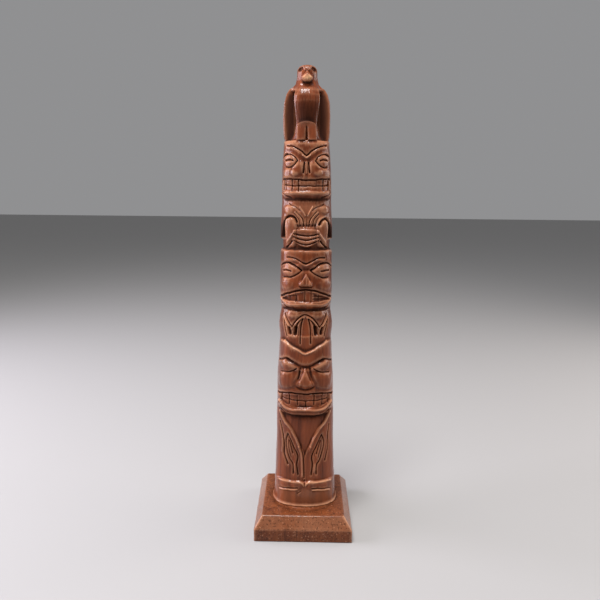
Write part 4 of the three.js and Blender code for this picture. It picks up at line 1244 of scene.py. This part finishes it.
@dataclass(frozen=True)
class Panel:
    """A square panel light, with its place and side in metres and its power in watts."""

    name: str
    place: Triple
    side: float
    power: float
    colour: Triple

    def hang(self, aim: Triple) -> None:
        """Hang the light so that it faces a point."""
        light = bpy.data.lights.new(self.name, "AREA")
        light.size, light.energy, light.color = self.side, self.power, self.colour
        lamp = set_in_scene(self.name, light)
        lamp.location = self.place
        lamp.rotation_euler = (Vector(aim) - Vector(self.place)).to_track_quat("-Z", "Y").to_euler()


@dataclass
class Studio:
    """Pale floor, soft light and the camera at the photograph's angle."""

    camera_place: Triple = (-4.2, -383.4, 249.3)
    pitch: float = 11.09
    roll: float = 0.55
    turn: float = 0.78
    focal_pixels: float = 530.0
    frame_pixels: float = 600.0
    floor_colour: Triple = (0.36, 0.355, 0.35)
    floor_side: float = 6.0
    floor_roughness: float = 0.7
    sky_colour: Triple = (0.93, 0.93, 0.95)
    sky_strength: float = 0.30
    panels: tuple[Panel, ...] = (
        Panel("left panel", (-0.85, 0.00, 0.40), 0.58, 10.5, (0.93, 0.88, 1.0)),
        Panel("right panel", (0.80, 0.14, 0.40), 0.58, 4.2, (1.0, 0.92, 0.88)),
        Panel("top panel", (-0.12, -0.30, 1.15), 0.40, 16.0, (1.0, 0.98, 0.98)),
    )
    aim: Triple = (0.0, 0.0, 0.17)

    def build(self) -> None:
        """Make the floor, the lights and the camera."""
        self.make_floor()
        self.make_light()
        self.make_camera()

    def make_floor(self) -> None:
        """Lay the floor and give it a plain pale finish."""
        bm = bmesh.new()
        bmesh.ops.create_grid(bm, x_segments=1, y_segments=1, size=self.floor_side)
        mesh = mesh_from(bm, "floor")
        floor = set_in_scene("floor", mesh)
        material = bpy.data.materials.new("pale floor")
        material.use_nodes = True
        shader = material.node_tree.nodes["Principled BSDF"]
        shader.inputs["Base Color"].default_value = (*self.floor_colour, 1.0)
        shader.inputs["Roughness"].default_value = self.floor_roughness
        mesh.materials.append(material)

    def make_light(self) -> None:
        """Set the soft sky light and three large soft panels."""
        world = bpy.data.worlds.new("studio")
        bpy.context.scene.world = world
        world.use_nodes = True
        background = world.node_tree.nodes["Background"]
        background.inputs["Color"].default_value = (*self.sky_colour, 1.0)
        background.inputs["Strength"].default_value = self.sky_strength
        for panel in self.panels:
            panel.hang(self.aim)

    def make_camera(self) -> None:
        """Place the camera as it was fitted to the photograph."""
        pitch, roll = math.radians(self.pitch), math.radians(self.roll)
        ahead = Vector((0, math.cos(pitch), -math.sin(pitch)))
        up = Vector((0, math.sin(pitch), math.cos(pitch)))
        right = Vector((1, 0, 0))
        tilted_right = math.cos(roll) * right + math.sin(roll) * up
        tilted_up = -math.sin(roll) * right + math.cos(roll) * up
        axes = Matrix((tilted_right, tilted_up, -ahead)).transposed()
        camera = bpy.data.cameras.new("camera")
        camera.sensor_fit = "HORIZONTAL"
        camera.sensor_width = 36.0
        camera.lens = self.focal_pixels / self.frame_pixels * camera.sensor_width
        camera.clip_start = 0.01
        eye = set_in_scene("camera", camera)
        turn = Matrix.Rotation(math.radians(self.turn), 4, "Z")
        place = Matrix.Translation(Vector(self.camera_place) * MM)
        eye.matrix_world = turn @ place @ axes.to_4x4()
        bpy.context.scene.camera = eye


def main() -> None:
    """Build the plinth, the pole and the studio."""
    logging.basicConfig(level=logging.INFO, format="%(name)s: %(message)s")
    bpy.context.scene.view_settings.view_transform = "Standard"
    for build in (Plinth().build, CarvedPole().build):
        piece = build()
        LOG.info("%s: %d faces", piece.name, len(piece.data.polygons))
    Studio().build()


if __name__ == "__main__":
    main()
